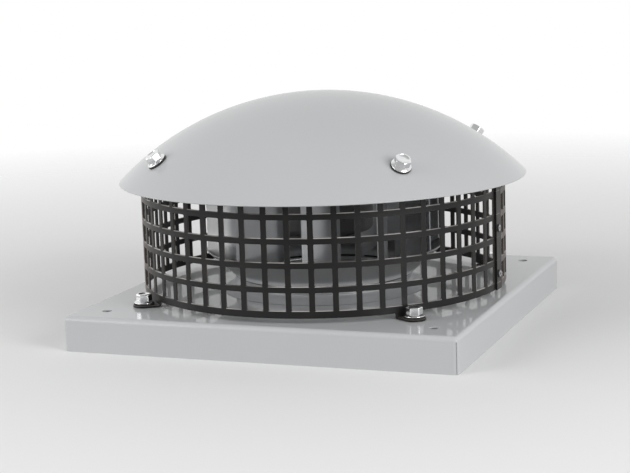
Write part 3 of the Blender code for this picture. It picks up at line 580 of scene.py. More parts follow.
def rubber():
    """Black rubber with a pale bloom in places."""
    finish = Finish("black rubber", "black_rubber")
    bloom = finish.noise(130, detail=5)
    finish.set(
        base_color=finish.blend(bloom, grey(0.016), grey(0.035, 0.03)),
        roughness=finish.follow(bloom, 0.62, 0.82),
        normal=finish.bump(finish.noise(1200, detail=2), 0.03 * MM, 0.6),
    )
    return finish


def plastic():
    """Moulded black plastic with a fine spark-eroded texture."""
    finish = Finish("moulded black plastic", "black_plastic")
    grain = finish.noise(1500, detail=3, roughness=0.6)
    cloud = finish.noise(35, detail=2)
    finish.set(
        base_color=finish.blend(cloud, grey(0.030), grey(0.042)),
        roughness=finish.follow(cloud, 0.42, 0.55),
        normal=finish.bump(grain, 0.05 * MM, 0.7),
    )
    return finish


def motor_paint():
    """Thin dark dip paint on the motor's can."""
    finish = Finish("dark motor paint", "motor_paint")
    runs = finish.noise(45, detail=4, place=finish.stretched((1, 1, 0.3)))
    finish.set(
        base_color=finish.blend(runs, grey(0.15), grey(0.19, 0.02)),
        roughness=finish.follow(runs, 0.32, 0.5),
        normal=finish.bump(finish.noise(800, detail=2), 0.03 * MM, 0.5),
    )
    return finish


PAINT = light_grey_paint()
BLACK = black_paint()
ZINC = turned_zinc()
GALVANISED = galvanised()
JOINED_AND_PAINTED_LIGHT = galvanised("galvanised sheet with a joint and painted light", joined=True)
BRIGHT = bright_zinc()
ALUMINIUM = cast_aluminium()
COPPER = copper_winding()
RUBBER = rubber()
PLASTIC = plastic()
MOTOR = motor_paint()
RIVET = black_rivet()


# Making pieces


def linked(name, data):
    """A new object in the scene."""
    obj = bpy.data.objects.new(name, data)
    bpy.context.scene.collection.objects.link(obj)
    return obj


def mesh_of(name, bm):
    mesh = bpy.data.meshes.new(name)
    bm.to_mesh(mesh)
    bm.free()
    return mesh


def add_piece(name, shape, finish, node, sheet=0.0, edge=0.0, level_faces=False):
    """A finished piece from a mesh or bmesh. It stands for a CAD node and rides on its body."""
    mesh = mesh_of(name, shape) if isinstance(shape, bmesh.types.BMesh) else shape
    obj = linked(name, mesh)
    mesh.materials.clear()
    mesh.materials.append(finish.material)
    mesh.shade_smooth()
    mesh.set_sharp_from_angle(angle=SHARP_ANGLE)
    if sheet:
        wall = obj.modifiers.new("Sheet", "SOLIDIFY")
        wall.thickness = sheet
        wall.offset = 0.0
        wall.use_even_offset = True
    if edge:
        bevel = obj.modifiers.new("Edges", "BEVEL")
        bevel.width = edge
        bevel.segments = 2
        bevel.limit_method = "ANGLE"
        bevel.angle_limit = BROKEN_ANGLE
        bevel.harden_normals = True
    if level_faces:
        weighted = obj.modifiers.new("Level faces", "WEIGHTED_NORMAL")
        weighted.keep_sharp = True
    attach(obj, frame["nodes"][node]["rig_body"])
    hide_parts(node)


def lathe(profile, steps=ROUND_STEPS, closed=True):
    """A profile of (radius, height) points turned about Z."""
    bm = bmesh.new()
    verts = [bm.verts.new((radius, 0, height)) for radius, height in profile]
    ends = list(zip(verts, verts[1:]))
    if closed:
        ends.append((verts[-1], verts[0]))
    edges = [bm.edges.new(pair) for pair in ends]
    bmesh.ops.spin(
        bm,
        geom=verts + edges,
        cent=(0, 0, 0),
        axis=(0, 0, 1),
        angle=2 * math.pi,
        steps=steps,
        use_merge=True,
    )
    bmesh.ops.remove_doubles(bm, verts=bm.verts, dist=MERGED)
    bmesh.ops.recalc_face_normals(bm, faces=bm.faces)
    return bm


def spread(start, end, count):
    """Numbers from start to end, this many equal steps apart."""
    return [start + (end - start) * step / count for step in range(count + 1)]


def arc(centre, half_width, half_height, start, end, count):
    """Points of an ellipse in the profile's plane, from one angle to another in degrees."""
    points = []
    for angle in map(math.radians, spread(start, end, count)):
        radius = centre[0] + half_width * math.cos(angle)
        points.append((radius, centre[1] + half_height * math.sin(angle)))
    return points


def sheet_profile(face, sheet):
    """A closed profile of a sheet, from the points of its outer face from its top down."""
    back = []
    for index, (radius, height) in enumerate(face):
        before = face[max(index - 1, 0)]
        after = face[min(index + 1, len(face) - 1)]
        along = Vector((after[0] - before[0], after[1] - before[1])).normalized()
        back.append((radius + along.y * sheet, height - along.x * sheet))
    return face + back[::-1]


def around(angle, radius, height):
    return Vector((radius * math.cos(angle), radius * math.sin(angle), height))


def dome_point(depth):
    """(radius, height) on a cap bolt's axis, this deep under the cap's outer face."""
    reach = DOME_SPHERE - depth
    return reach * math.sin(DOME_SLOPE), DOME_CENTRE + reach * math.cos(DOME_SLOPE)


def height_on_slope(depth, radius):
    """Height of a tab that lies this deep under the cap, at a radius."""
    seat_radius, seat_height = dome_point(depth)
    return seat_height + (seat_radius - radius) * math.tan(DOME_SLOPE)


def raised(height):
    return Matrix.Translation((0, 0, height))


def sideways():
    """Lays a turned piece along X."""
    return Matrix.Rotation(math.pi / 2, 4, "Y")


def upright(angle, radius, height):
    """Stands a piece at a place, its own X pointing away from the axis."""
    return Matrix.Translation(around(angle, radius, height)) @ Matrix.Rotation(angle, 4, "Z")


def on_dome(angle, depth):
    """Stands a fastener square on the cap, this deep under its outer face."""
    radius, height = dome_point(depth)
    return upright(angle, radius, height) @ Matrix.Rotation(DOME_SLOPE, 4, "Y")


def moved(bm, place):
    bmesh.ops.transform(bm, verts=bm.verts, matrix=place)
    return bm


def facing_up(bm):
    return [face for face in bm.faces if face.normal.z > 0.5]


# Base tray


def cut(mesh, name, cutters):
    """The mesh with each cutter taken out of it. The cutters are removed."""
    obj = linked(name, mesh)
    for tool in cutters:
        boolean = obj.modifiers.new("Cut", "BOOLEAN")
        boolean.operation = "DIFFERENCE"
        boolean.solver = "EXACT"
        boolean.object = tool
    graph = bpy.context.evaluated_depsgraph_get()
    made = bpy.data.meshes.new_from_object(obj.evaluated_get(graph))
    for unused in [obj, *cutters]:
        bpy.data.objects.remove(unused, do_unlink=True)
    return made


def walled(bm, name, sheet):
    """A mesh from a surface, given the sheet's thickness on its inner side."""
    bmesh.ops.solidify(bm, geom=bm.faces[:] + bm.edges[:] + bm.verts[:], thickness=sheet)
    bmesh.ops.recalc_face_normals(bm, faces=bm.faces)
    return mesh_of(name, bm)


def hole_tool(radius, place):
    """A rod for cutting a hole. The place is a matrix whose Z is the hole's axis."""
    bm = bmesh.new()
    bmesh.ops.create_cone(
        bm,
        cap_ends=True,
        segments=SMALL_STEPS,
        radius1=radius,
        radius2=radius,
        depth=HOLE_TOOL_LENGTH,
        matrix=place,
    )
    return linked("rod", mesh_of("rod", bm))


def slit_tool(turn):
    """A block for cutting the open seam beside one upright corner."""
    bm = bmesh.new()
    x = TRAY_SIDE / 2 - TRAY_SHEET - CORNER_SLIT / 2
    y = -TRAY_SIDE / 2 - TRAY_SHEET + SLIT_OVERCUT
    size = (CORNER_SLIT, 4 * TRAY_SHEET, 2 * (TRAY_HEIGHT - TRAY_BEND), 1)
    place = Matrix.Rotation(turn * math.pi / 2, 4, "Z") @ Matrix.Translation((x, y, 0))
    bmesh.ops.create_cube(bm, size=1, matrix=place @ Matrix.Diagonal(size))
    return linked("slit", mesh_of("slit", bm))


def round_over(bm, edges, radius):
    bmesh.ops.bevel(
        bm,
        geom=edges,
        offset=radius,
        affect="EDGES",
        segments=BEND_STEPS,
        profile=0.5,
        material=-1,
    )


def base_tray():
    """A folded sheet: a deck with its round inlet, four flanges and a seam at each corner."""
    bm = bmesh.new()
    size = Matrix.Diagonal((TRAY_SIDE, TRAY_SIDE, TRAY_HEIGHT, 1))
    bmesh.ops.create_cube(bm, size=1, matrix=raised(TRAY_HEIGHT / 2) @ size)
    under = [face for face in bm.faces if face.normal.z < -0.5]
    bmesh.ops.delete(bm, geom=under, context="FACES_ONLY")
    folds = [edge for edge in bm.edges if any(vert.co.z > TRAY_BEND for vert in edge.verts)]
    round_over(bm, folds, TRAY_BEND)
    mesh = walled(bm, "base_tray", TRAY_SHEET)
    side = TRAY_SIDE / 2 - FIXING_INSET
    tools = [hole_tool(NOZZLE_RADIUS + NOZZLE_FLARE - NOZZLE_SHEET, raised(DECK))]
    for x in (-side, side):
        for y in (-side, side):
            tools.append(hole_tool(FIXING_RADIUS, Matrix.Translation((x, y, DECK))))
    tools += [slit_tool(turn) for turn in range(4)]
    made = cut(mesh, "base_tray", tools)
    add_piece("tray", made, PAINT, "base_tray", edge=TRAY_EDGE, level_faces=True)


# Inlet nozzle


def inlet_nozzle():
    """A spun bell-mouth on the tray, whose flange thins out towards its edge."""
    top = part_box("inlet_nozzle")[1][2]
    seat = DECK + SEAT_GAP
    flange_top = seat + NOZZLE_SHEET
    flare_top = top - NOZZLE_COLLAR
    centre = (NOZZLE_RADIUS + NOZZLE_FLARE, flare_top)
    flare = arc(centre, NOZZLE_FLARE, flare_top - flange_top, 180, 270, 18)
    face = [(NOZZLE_RADIUS, top), *flare]
    rim = NOZZLE_RADIUS + NOZZLE_FLARE + NOZZLE_FLANGE
    profile = sheet_profile(face, -NOZZLE_SHEET)
    edge = [(rim - NOZZLE_TAPER, flange_top), (rim, seat + NOZZLE_RIM), (rim, seat)]
    profile[len(face) : len(face)] = edge
    add_piece("nozzle", lathe(profile), ZINC, "inlet_nozzle")


# Guard


def guard_heights():
    """The bottom and top of the strip, and where its rows of holes start."""
    reach = GUARD_RADIUS + GUARD_SHEET / 2
    top = DOME_CENTRE + math.sqrt((DOME_SPHERE - DOME_SHEET) ** 2 - reach**2)
    top -= GUARD_TOP_CLEARANCE
    count = int((top - GUARD_TOP_BAND - HOLE_HEIGHT - FIRST_ROW) / ROW_PITCH) + 1
    return DECK + GUARD_LIFT, top, [FIRST_ROW + row * ROW_PITCH for row in range(count)]


def strip_angle(position):
    return SEAM_ANGLE + (position - SEAM_LAP / 2) / GUARD_RADIUS


def side_of(point, angle):
    return point.y * math.cos(angle) - point.x * math.sin(angle)


def in_order(verts, angle):
    """Points from one side of an angle's direction to the other."""
    return sorted(verts, key=lambda vert: side_of(vert.co, angle))


def edge_run(bm, height, angle):
    """The points of the strip's edge at a height, within half an ear's width of an angle."""
    found = []
    for vert in bm.verts:
        if abs(vert.co.z - height) < 0.02 * MM and vert.co.dot(around(angle, 1, 0)) > 0:
            if abs(side_of(vert.co, angle)) < EAR_WIDTH / 2 + 0.1 * MM:
                found.append(vert)
    return in_order(found, angle)


def extend(bm, verts, angle, rows):
    """Extrudes a run of edge points into a tab. Each row is (radius, height, half width)."""
    for radius, height, half in rows:
        edges = [bm.edges.get(pair) for pair in zip(verts, verts[1:])]
        made = bmesh.ops.extrude_edge_only(bm, edges=edges)["geom"]
        verts = in_order([item for item in made if isinstance(item, bmesh.types.BMVert)], angle)
        for vert, across in zip(verts, spread(-half, half, len(verts) - 1)):
            vert.co = around(angle, radius, height) + around(angle + math.pi / 2, across, 0)


def ear_rows():
    rows = []
    for turn in map(math.radians, spread(0, 90, 5)):
        radius = GUARD_RADIUS + SHEET_BEND * (1 - math.cos(turn))
        rows.append((radius, EAR_LEVEL + SHEET_BEND * (1 - math.sin(turn)), EAR_WIDTH / 2))
    for turn in map(math.radians, spread(0, 80, 8)):
        ahead = GUARD_RADIUS + EAR_REACH + EAR_END * math.sin(turn)
        rows.append((ahead, EAR_LEVEL, EAR_END * math.cos(turn)))
    return rows


def tab_rows():
    half = EAR_WIDTH / 2
    bend = math.pi / 2 - DOME_SLOPE
    start = height_on_slope(TAB_DEPTH, GUARD_RADIUS) - SHEET_BEND * math.tan(bend / 2)
    rows = []
    for turn in spread(0, bend, 4):
        radius = GUARD_RADIUS - SHEET_BEND * (1 - math.cos(turn))
        rows.append((radius, start + SHEET_BEND * math.sin(turn), half))
    for turn in map(math.radians, spread(0, 80, 8)):
        radius = dome_point(TAB_DEPTH)[0] - half * math.sin(turn) * math.cos(DOME_SLOPE)
        rows.append((radius, height_on_slope(TAB_DEPTH, radius), half * math.cos(turn)))
    return rows


def hole_loop(bm, left, bottom):
    """The edges of one square hole, whose corners are a little round."""
    right, top = left + HOLE_WIDTH, bottom + HOLE_HEIGHT
    inset = HOLE_CORNER
    middles = (
        (right - inset, top - inset, 0),
        (left + inset, top - inset, 90),
        (left + inset, bottom + inset, 180),
        (right - inset, bottom + inset, 270),
    )
    points = []
    for x, y, start in middles:
        points += arc((x, y), inset, inset, start, start + 90, 3)
    verts = [bm.verts.new((x, y, 0)) for x, y in points]
    return [bm.edges.new(pair) for pair in zip(verts, verts[1:] + verts[:1])]


def punched_strip(columns, bottom, top, rows):
    """The guard's strip laid flat, with its holes punched in it."""
    bar = COLUMN_PITCH - HOLE_WIDTH
    across = [0.0, SEAM_LAP] + [start + HOLE_WIDTH + bar / 2 for start in columns]
    across.append(GUARD_ROUND + SEAM_LAP - SHEET_BEND)
    gap = ROW_PITCH - HOLE_HEIGHT
    up = [bottom] + [start - gap / 2 for start in rows[1:]] + [top]
    bm = bmesh.new()
    bmesh.ops.create_grid(bm, x_segments=len(across) - 1, y_segments=len(up) - 1, size=1)
    for vert in bm.verts:
        column = round((vert.co.x + 1) / 2 * (len(across) - 1))
        row = round((vert.co.y + 1) / 2 * (len(up) - 1))
        vert.co = Vector((across[column], up[row], 0))
    for face in bm.faces[:]:
        low_x = min(vert.co.x for vert in face.verts)
        low_y = min(vert.co.y for vert in face.verts)
        left = [start for start in columns if 0 < start - low_x < bar]
        foot = [start for start in rows if 0 < start - low_y < GUARD_FOOT_BAND + bar]
        if left and foot:
            frame_edges = face.edges[:]
            bmesh.ops.delete(bm, geom=[face], context="FACES_ONLY")
            loop = hole_loop(bm, left[0], foot[0])
            bmesh.ops.triangle_fill(bm, use_beauty=True, edges=frame_edges + loop)
    return bm


def split_at(bm, positions):
    """Cuts the flat strip across at each position, so that it rolls up round."""
    for position in positions:
        bmesh.ops.bisect_plane(
            bm,
            geom=bm.verts[:] + bm.edges[:] + bm.faces[:],
            dist=MERGED,
            plane_co=(position, 0, 0),
            plane_no=(1, 0, 0),
        )


def guard():
    """The punched strip rolled up and lapped, with ears for the tray and tabs for the cap."""
    columns = guard_columns()
    bottom, top, rows = guard_heights()
    bm = punched_strip(columns, bottom, top, rows)
    cuts = [start + HOLE_WIDTH / 2 for start in columns]
    for angle in CORNERS:
        middle = ((angle - SEAM_ANGLE) % (2 * math.pi)) * GUARD_RADIUS + SEAM_LAP / 2
        cuts += [middle - EAR_WIDTH / 2, middle + EAR_WIDTH / 2]
    split_at(bm, cuts)
    for vert in bm.verts:
        position, height, _ = vert.co
        step = GUARD_SHEET + SEAT_GAP if position < SEAM_LAP + 0.1 * MM else 0.0
        vert.co = around(strip_angle(position), GUARD_RADIUS + step, height)
    for angle in CORNERS:
        foot = edge_run(bm, bottom, angle)
        head = edge_run(bm, top, angle)
        extend(bm, foot, angle, ear_rows())
        extend(bm, head, angle, tab_rows())
    bmesh.ops.recalc_face_normals(bm, faces=bm.faces)
    add_piece("guard", bm, BLACK, "guard_cage", sheet=GUARD_SHEET, edge=CUT_EDGE)


def seam_rivets():
    """Blind rivets through the guard's lap, with a small punched recess in each head."""
    _, _, rows = guard_heights()
    # Shares of the head's radius and of its crown
    recess = [(0, 0.5), (0.3, 0.6), (0.36, 1)]
    head = [(RIVET_HEAD * across, RIVET_CROWN * up) for across, up in recess]
    head += arc((0.6 * RIVET_HEAD, 0), 0.4 * RIVET_HEAD, RIVET_CROWN, 90, 0, 6)
    shank = [(RIVET_RADIUS, 0), (RIVET_RADIUS, -RIVET_GRIP)]
    swell = [(1.35, 0.4), (1.2, 1.4), (0, 1.5)]
    shank += [(RIVET_RADIUS * across, -RIVET_GRIP - down * MM) for across, down in swell]
    for index, row in enumerate((rows[0], rows[2]), 1):
        place = upright(strip_angle(RIVET_EDGE), RIVET_SEAT, row + HOLE_HEIGHT / 2) @ sideways()
        bm = moved(lathe(head + shank, RIVET_STEPS, closed=False), place)
        add_piece(f"rivet_{index}", bm, RIVET, f"seam_rivet_{index}")


# Domed cap


def domed_cap():
    """One spun sheet, a shallow part of a sphere, with its cut edge rounded over."""
    rim = 90 - math.degrees(math.asin(DOME_RIM_RADIUS / DOME_SPHERE))
    inside = DOME_SPHERE - DOME_SHEET
    face = arc((0, DOME_CENTRE), DOME_SPHERE, DOME_SPHERE, 90, rim, 48)
    back = arc((0, DOME_CENTRE), inside, inside, rim, 90, 48)
    bm = lathe(face + back, DOME_STEPS, closed=False)
    add_piece("cap", bm, PAINT, "dome_cap", edge=DOME_EDGE)


# Fasteners


def hexagon_body(levels):
    """A hexagon with slightly round corners, wrapped from a grid.

    Each level is (height, share of the flats, roundness), up to 1 for a circle.
    """
    bm = bmesh.new()
    rows = len(levels) - 1
    bmesh.ops.create_grid(bm, x_segments=HEXAGON_STEPS, y_segments=rows, size=1)
    for vert in bm.verts:
        angle = (vert.co.x + 1) * math.pi
        height, share, roundness = levels[round((vert.co.y + 1) / 2 * rows)]
        turned = (angle + math.pi / 6) % (math.pi / 3) - math.pi / 6
        reach = min(BOLT_HEX / 2 / math.cos(turned), HEX_CORNER)
        radius = share * (reach * (1 - roundness) + BOLT_HEX / 2 * roundness)
        vert.co = around(angle, radius, height)
    bmesh.ops.remove_doubles(bm, verts=bm.verts, dist=MERGED)
    return bm


def flange_bolt():
    """A flange bolt: dished hexagon head, conical flange and a threaded shank. Seat at zero."""
    # Levels of the head, as millimetres under its top
    side = [(6.7, 1, 0), (6.1, 1, 0), (0.9, 1, 0), (0.4, 0.99, 0.4), (0.1, 0.95, 0.8)]
    dish = [(0, 0.9, 1), (0, 0.8, 1), (0.7, 0.66, 1), (1.0, 0.4, 1), (1.0, 0.001, 1)]
    bm = hexagon_body([(BOLT_HEAD - depth * MM, *shape) for depth, *shape in side + dish])
    flange = [(0.66 * BOLT_FLANGE, 2.6 * MM), (0.9 * BOLT_FLANGE, 1.5 * MM)]
    rim = (BOLT_FLANGE - FLANGE_RIM, 1.1 * FLANGE_RIM)
    flange += arc(rim, FLANGE_RIM, 1.1 * FLANGE_RIM, 70, -60, 6)
    flange += [(BOLT_RADIUS, 0)]
    join(bm, lathe(flange + thread(-SEAT_GAP, -BOLT_LENGTH), SMALL_STEPS, closed=False))
    bmesh.ops.recalc_face_normals(bm, faces=bm.faces)
    return bm


def thread(top, bottom):
    """The outline of a threaded shank from its top down to its chamfered end."""
    points = []
    turns = int((top - bottom - THREAD_PITCH) / THREAD_PITCH)
    for turn in range(turns):
        level = top - turn * THREAD_PITCH
        points += [(THREAD_ROOT, level), (BOLT_RADIUS, level - THREAD_PITCH / 2)]
    points += [(THREAD_ROOT, top - turns * THREAD_PITCH)]
    return points + [(0.8 * BOLT_RADIUS, bottom), (0, bottom)]


def join(bm, other):
    """Adds another bmesh's faces to this one."""
    mesh = mesh_of("joined", other)
    bm.from_mesh(mesh)
    bpy.data.meshes.remove(mesh)


def flange_nut():
    """A chamfered hexagon nut with its bore. Its seat is at zero and it hangs down."""
    end = NUT_CHAMFER / 2
    side = [(0, 0.93, 1), (end, 0.995, 0.45), (NUT_CHAMFER, 1, 0)]
    side += [(NUT_HEIGHT - depth, *shape) for depth, *shape in side[::-1]]
    bore = 2 * 1.04 * BOLT_RADIUS / BOLT_HEX
    inside = [(NUT_HEIGHT, bore * 1.12, 1), (NUT_HEIGHT - end, bore, 1)]
    inside += [(end, bore, 1), (0, bore * 1.12, 1)]
    bm = hexagon_body([(-depth, *shape) for depth, *shape in side + inside + side[:1]])
    bmesh.ops.recalc_face_normals(bm, faces=bm.faces)
    return bm


def washer():
    half = WASHER_SHEET / 2
    bore = BOLT_RADIUS + SEAT_GAP
    rim = arc((WASHER_RADIUS - half, half), half, half, -90, 90, 8)
    return lathe([(bore, 0), *rim, (bore, WASHER_SHEET)], SMALL_STEPS)


def fasteners(kinds, turns, place):
    """Four sets of a washer, a bolt and a nut. The place is a matrix from an angle and a level."""
    for index, (angle, turn) in enumerate(zip(CORNERS, turns), 1):
        for name, make, level, finish in kinds:
            bm = moved(make(), place(angle, level) @ Matrix.Rotation(turn, 4, "Z"))
            add_piece(f"{name}_{index}_finished", bm, finish, f"{name}_{index}", level_faces=True)


def on_ear(angle, level):
    return upright(angle, GUARD_RADIUS + EAR_REACH, level)


def guard_fasteners():
    seat = EAR_LEVEL + GUARD_SHEET / 2 + SEAT_GAP
    kinds = (
        ("guard_washer", washer, seat, RUBBER),
        ("guard_bolt", flange_bolt, seat + WASHER_SHEET + SEAT_GAP, BRIGHT),
        ("guard_nut", flange_nut, DECK - TRAY_SHEET - SEAT_GAP, BRIGHT),
    )
    fasteners(kinds, HEAD_TURNS, on_ear)


def dome_fasteners():
    kinds = (
        ("dome_seal", washer, -SEAT_GAP, RUBBER),
        ("dome_bolt", flange_bolt, -2 * SEAT_GAP - WASHER_SHEET, BRIGHT),
        ("dome_nut", flange_nut, NUT_DEPTH, BRIGHT),
    )
    fasteners(kinds, HEAD_TURNS[::-1], on_dome)


def motor_screws():
    """Pan-head screws through the motor plate into the motor's flange."""
    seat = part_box("motor_screw_1")[1][2] - SCREW_CROWN
    end = -SCREW_DEPTH - PLATE_SHEET
    middle = (0.35 * SCREW_HEAD, SCREW_WALL)
    crown = arc(middle, 0.65 * SCREW_HEAD, SCREW_CROWN - SCREW_WALL, 90, 0, 8)
    profile = [(0, SCREW_CROWN), *crown, (SCREW_HEAD, 0)]
    profile += [(SCREW_RADIUS, 0), (SCREW_RADIUS, end), (0, end)]
    for index, angle in enumerate(CORNERS, 1):
        place = upright(angle, SCREW_CIRCLE, seat)
        bm = moved(lathe(profile, RIVET_STEPS, closed=False), place)
        add_piece(f"screw_{index}", bm, BRIGHT, f"motor_screw_{index}")


# Motor


def turned_piece(name, node, profile, finish, edge=CUT_EDGE, closed=True):
    add_piece(name, lathe(profile, SMALL_STEPS, closed), finish, node, edge=edge)


def reach_of(node):
    """(radius, bottom, top) of a round node, from its box."""
    low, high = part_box(node)
    return (high[0] - low[0]) / 2, low[2], high[2]


def motor():
    """The motor's turned pieces, with the levels that the CAD nodes have."""
    _, can_bottom, can_top = reach_of("rotor_can")
    inside = CAN_RADIUS - CAN_WALL
    floor = can_bottom + CAN_FLOOR
    sink = can_bottom + BOSS_SINK
    edge = (CAN_RADIUS - CAN_EDGE, can_bottom + CAN_EDGE)
    bore = SHAFT_RADIUS + SEAT_GAP
    profile = [(bore, floor), (inside - CAN_EDGE / 2, floor), (inside, floor + CAN_EDGE / 2)]
    profile += [(inside, can_top), (CAN_RADIUS, can_top)]
    profile += arc(edge, CAN_EDGE, CAN_EDGE, 0, -90, 12)
    profile += [(bore + BOSS_RING + BOSS_SINK, can_bottom), (bore + BOSS_RING, sink), (bore, sink)]
    turned_piece("can", "rotor_can", profile, MOTOR)

    radius, bottom, top = reach_of("shaft")
    neck = radius - SHAFT_CHAMFER
    profile = [(0, top), (neck, top), (radius, top - SHAFT_CHAMFER)]
    profile += [(radius, bottom + SHAFT_CHAMFER), (neck, bottom), (0, bottom)]
    turned_piece("shaft_finished", "shaft", profile, BRIGHT, edge=0, closed=False)

    flange_radius, tube_bottom, flange_top = reach_of("stator_flange")
    bore = reach_of("bearing_upper")[0] + SEAT_GAP
    tube = bore + TUBE_WALL
    flange_bottom = can_top + RUNNING_GAP
    profile = [(bore, flange_top), (flange_radius, flange_top), (flange_radius, flange_bottom)]
    profile += [(tube, flange_bottom), (tube, tube_bottom), (bore, tube_bottom)]
    turned_piece("stator_flange_finished", "stator_flange", profile, ALUMINIUM)

    for node, inner in (
        ("stator_core", tube + SEAT_GAP),
        ("rotor_core", reach_of("rotor_core")[0] - ROTOR_CORE_WALL),
        ("bearing_upper", SHAFT_RADIUS + SEAT_GAP),
        ("bearing_lower", SHAFT_RADIUS + SEAT_GAP),
    ):
        radius, bottom, top = reach_of(node)
        profile = [(inner, top), (radius, top), (radius, bottom), (inner, bottom)]
        turned_piece(f"{node}_finished", node, profile, BRIGHT)
    for node in ("winding_upper", "winding_lower"):
        radius, bottom, top = reach_of(node)
        inner = tube + SEAT_GAP + COIL_GAP
        middle = ((inner + radius) / 2, (bottom + top) / 2)
        ring = arc(middle, (radius - inner) / 2, (top - bottom) / 2, 0, 345, 23)
        turned_piece(f"{node}_finished", node, ring, COPPER, edge=0)


def rounded_block(low, high):
    """A block whose upright edges are rounded."""
    bm = bmesh.new()
    size = Matrix.Diagonal((*(high - low), 1))
    bmesh.ops.create_cube(bm, size=1, matrix=Matrix.Translation((low + high) / 2) @ size)
    uprights = [edge for edge in bm.edges if edge.verts[0].co.xy == edge.verts[1].co.xy]
    round_over(bm, uprights, BOX_CORNER)
    return bm


def connection_box():
    """The box on the motor plate, open at its top, with holes for the gland and the leads."""
    low, high = map(Vector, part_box("terminal_box"))
    bm = rounded_block(low, high)
    bmesh.ops.delete(bm, geom=facing_up(bm), context="FACES_ONLY")
    side = Matrix.Translation((high.x, 0, (low.z + high.z) / 2)) @ sideways()
    tools = [hole_tool(GLAND_RADIUS + HOLE_CLEARANCE, side), hole_tool(CABLE_HOLE, raised(low.z))]
    made = cut(walled(bm, "box", BOX_WALL), "box", tools)
    add_piece("box", made, PLASTIC, "terminal_box", edge=CUT_EDGE, level_faces=True)


def box_lid():
    """A lid with a shallow sunk panel."""
    bm = rounded_block(*map(Vector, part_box("terminal_lid")))
    bmesh.ops.inset_region(bm, faces=facing_up(bm), thickness=LID_MARGIN)
    panel = max(facing_up(bm), key=lambda face: face.calc_area())
    bmesh.ops.inset_region(bm, faces=[panel], thickness=LID_SINK, depth=-LID_SINK)
    add_piece("lid", bm, PLASTIC, "terminal_lid", edge=LID_EDGE, level_faces=True)


def cable_gland():
    """The gland for the supply lead: its thread through the wall, its collar and its nut."""
    low, high = map(Vector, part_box("cable_gland"))
    middle = (low + high) / 2
    length = high.x - low.x
    radius = (high.z - low.z) / 2
    nut = length - GLAND_NUT
    profile = [(GLAND_BORE, 0), (0.72 * radius, 0), (0.72 * radius, GLAND_COLLAR)]
    profile += [(radius, GLAND_COLLAR), (radius, nut), (0.93 * radius, nut + 2 * MM)]
    profile += [(0.62 * radius, length), (GLAND_BORE, length)]
    place = Matrix.Translation((low.x, middle.y, middle.z)) @ sideways()
    bm = moved(lathe(profile, SMALL_STEPS), place)
    add_piece("gland", bm, PLASTIC, "cable_gland", edge=CUT_EDGE)


def motor_plate():
    """A square plate with four arms, whose ends slope with the cap and share its bolts."""
    level = height_on_slope(ARM_DEPTH, ARM_SLOPE_START)
    bm = bmesh.new()
    place = raised(level) @ Matrix.Rotation(math.pi / 4, 4, "Z")
    bmesh.ops.create_grid(bm, x_segments=1, y_segments=1, size=PLATE_HALF, matrix=place)
    half = ARM_WIDTH / 2
    rows = [(PLATE_HALF + ARM_ROOT, level, half), (ARM_SLOPE_START, level, half)]
    for turn in map(math.radians, spread(0, 90, 6)):
        ahead = ARM_END - ARM_CORNER * (1 - math.sin(turn))
        radius = dome_point(ARM_DEPTH)[0] + ahead * math.cos(DOME_SLOPE)
        across = half - ARM_CORNER * (1 - math.cos(turn))
        rows.append((radius, height_on_slope(ARM_DEPTH, radius), across))
    for angle in CORNERS:
        outward = around(angle, 1, 0)
        side = [vert for vert in bm.verts if abs(vert.co.dot(outward) - PLATE_HALF) < 0.01 * MM]
        extend(bm, in_order(side, angle), angle, rows)
    for vert in bm.verts:
        vert.co.z += PLATE_SHEET / 2
    bmesh.ops.recalc_face_normals(bm, faces=bm.faces)
    # The sheet's thickness goes on under its upper face
    if sum(face.normal.z for face in bm.faces) < 0:
        bmesh.ops.reverse_faces(bm, faces=bm.faces)
    tools = [hole_tool(CABLE_HOLE, raised(level))]
    for angle in CORNERS:
        tools.append(hole_tool(BOLT_RADIUS + HOLE_CLEARANCE, on_dome(angle, ARM_DEPTH)))
        tools.append(hole_tool(SCREW_RADIUS + HOLE_CLEARANCE, upright(angle, SCREW_CIRCLE, level)))
    made = cut(walled(bm, "plate", PLATE_SHEET), "plate", tools)
    add_piece("plate", made, ZINC, "motor_plate", edge=TRAY_EDGE, level_faces=True)


# Impeller


def backplate():
    """The disc over the blades, with a collar round the motor's can."""
    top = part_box("impeller_backplate")[1][2]
    bottom = top - IMPELLER_SHEET
    foot = bottom - BACKPLATE_COLLAR
    inner = CAN_RADIUS + SEAT_GAP
    collar = inner + IMPELLER_SHEET
    bend = (collar + BACKPLATE_BEND, bottom - BACKPLATE_BEND)
    profile = [(inner, top), (IMPELLER_RADIUS, top), (IMPELLER_RADIUS, bottom)]
    profile += arc(bend, BACKPLATE_BEND, BACKPLATE_BEND, 90, 180, 6)
    profile += [(collar, foot), (inner, foot)]
    add_piece("backplate", lathe(profile), GALVANISED, "impeller_backplate", edge=CUT_EDGE)


def shroud_curve(offset=0.0):
    """The shroud's outer face, a cone that bends down to the eye, or a curve this far inside it."""
    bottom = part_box("impeller_shroud")[0][2]
    eye = EYE_RADIUS + IMPELLER_SHEET
    centre = (eye + SHROUD_BEND, bottom + SHROUD_COLLAR)
    reach = SHROUD_BEND + offset
    bend = arc(centre, reach, reach, 90 + math.degrees(SHROUD_SLOPE), 180, 8)
    radius, height = bend[0]
    rim = IMPELLER_RADIUS - offset * math.sin(SHROUD_SLOPE)
    top = height + (rim - radius) * math.tan(SHROUD_SLOPE)
    return [(rim, top), *bend, (eye - offset, bottom)]


def shroud():
    face = shroud_curve()
    back = shroud_curve(IMPELLER_SHEET)
    add_piece("shroud", lathe(face + back[::-1]), JOINED_AND_PAINTED_LIGHT, "impeller_shroud", edge=CUT_EDGE)


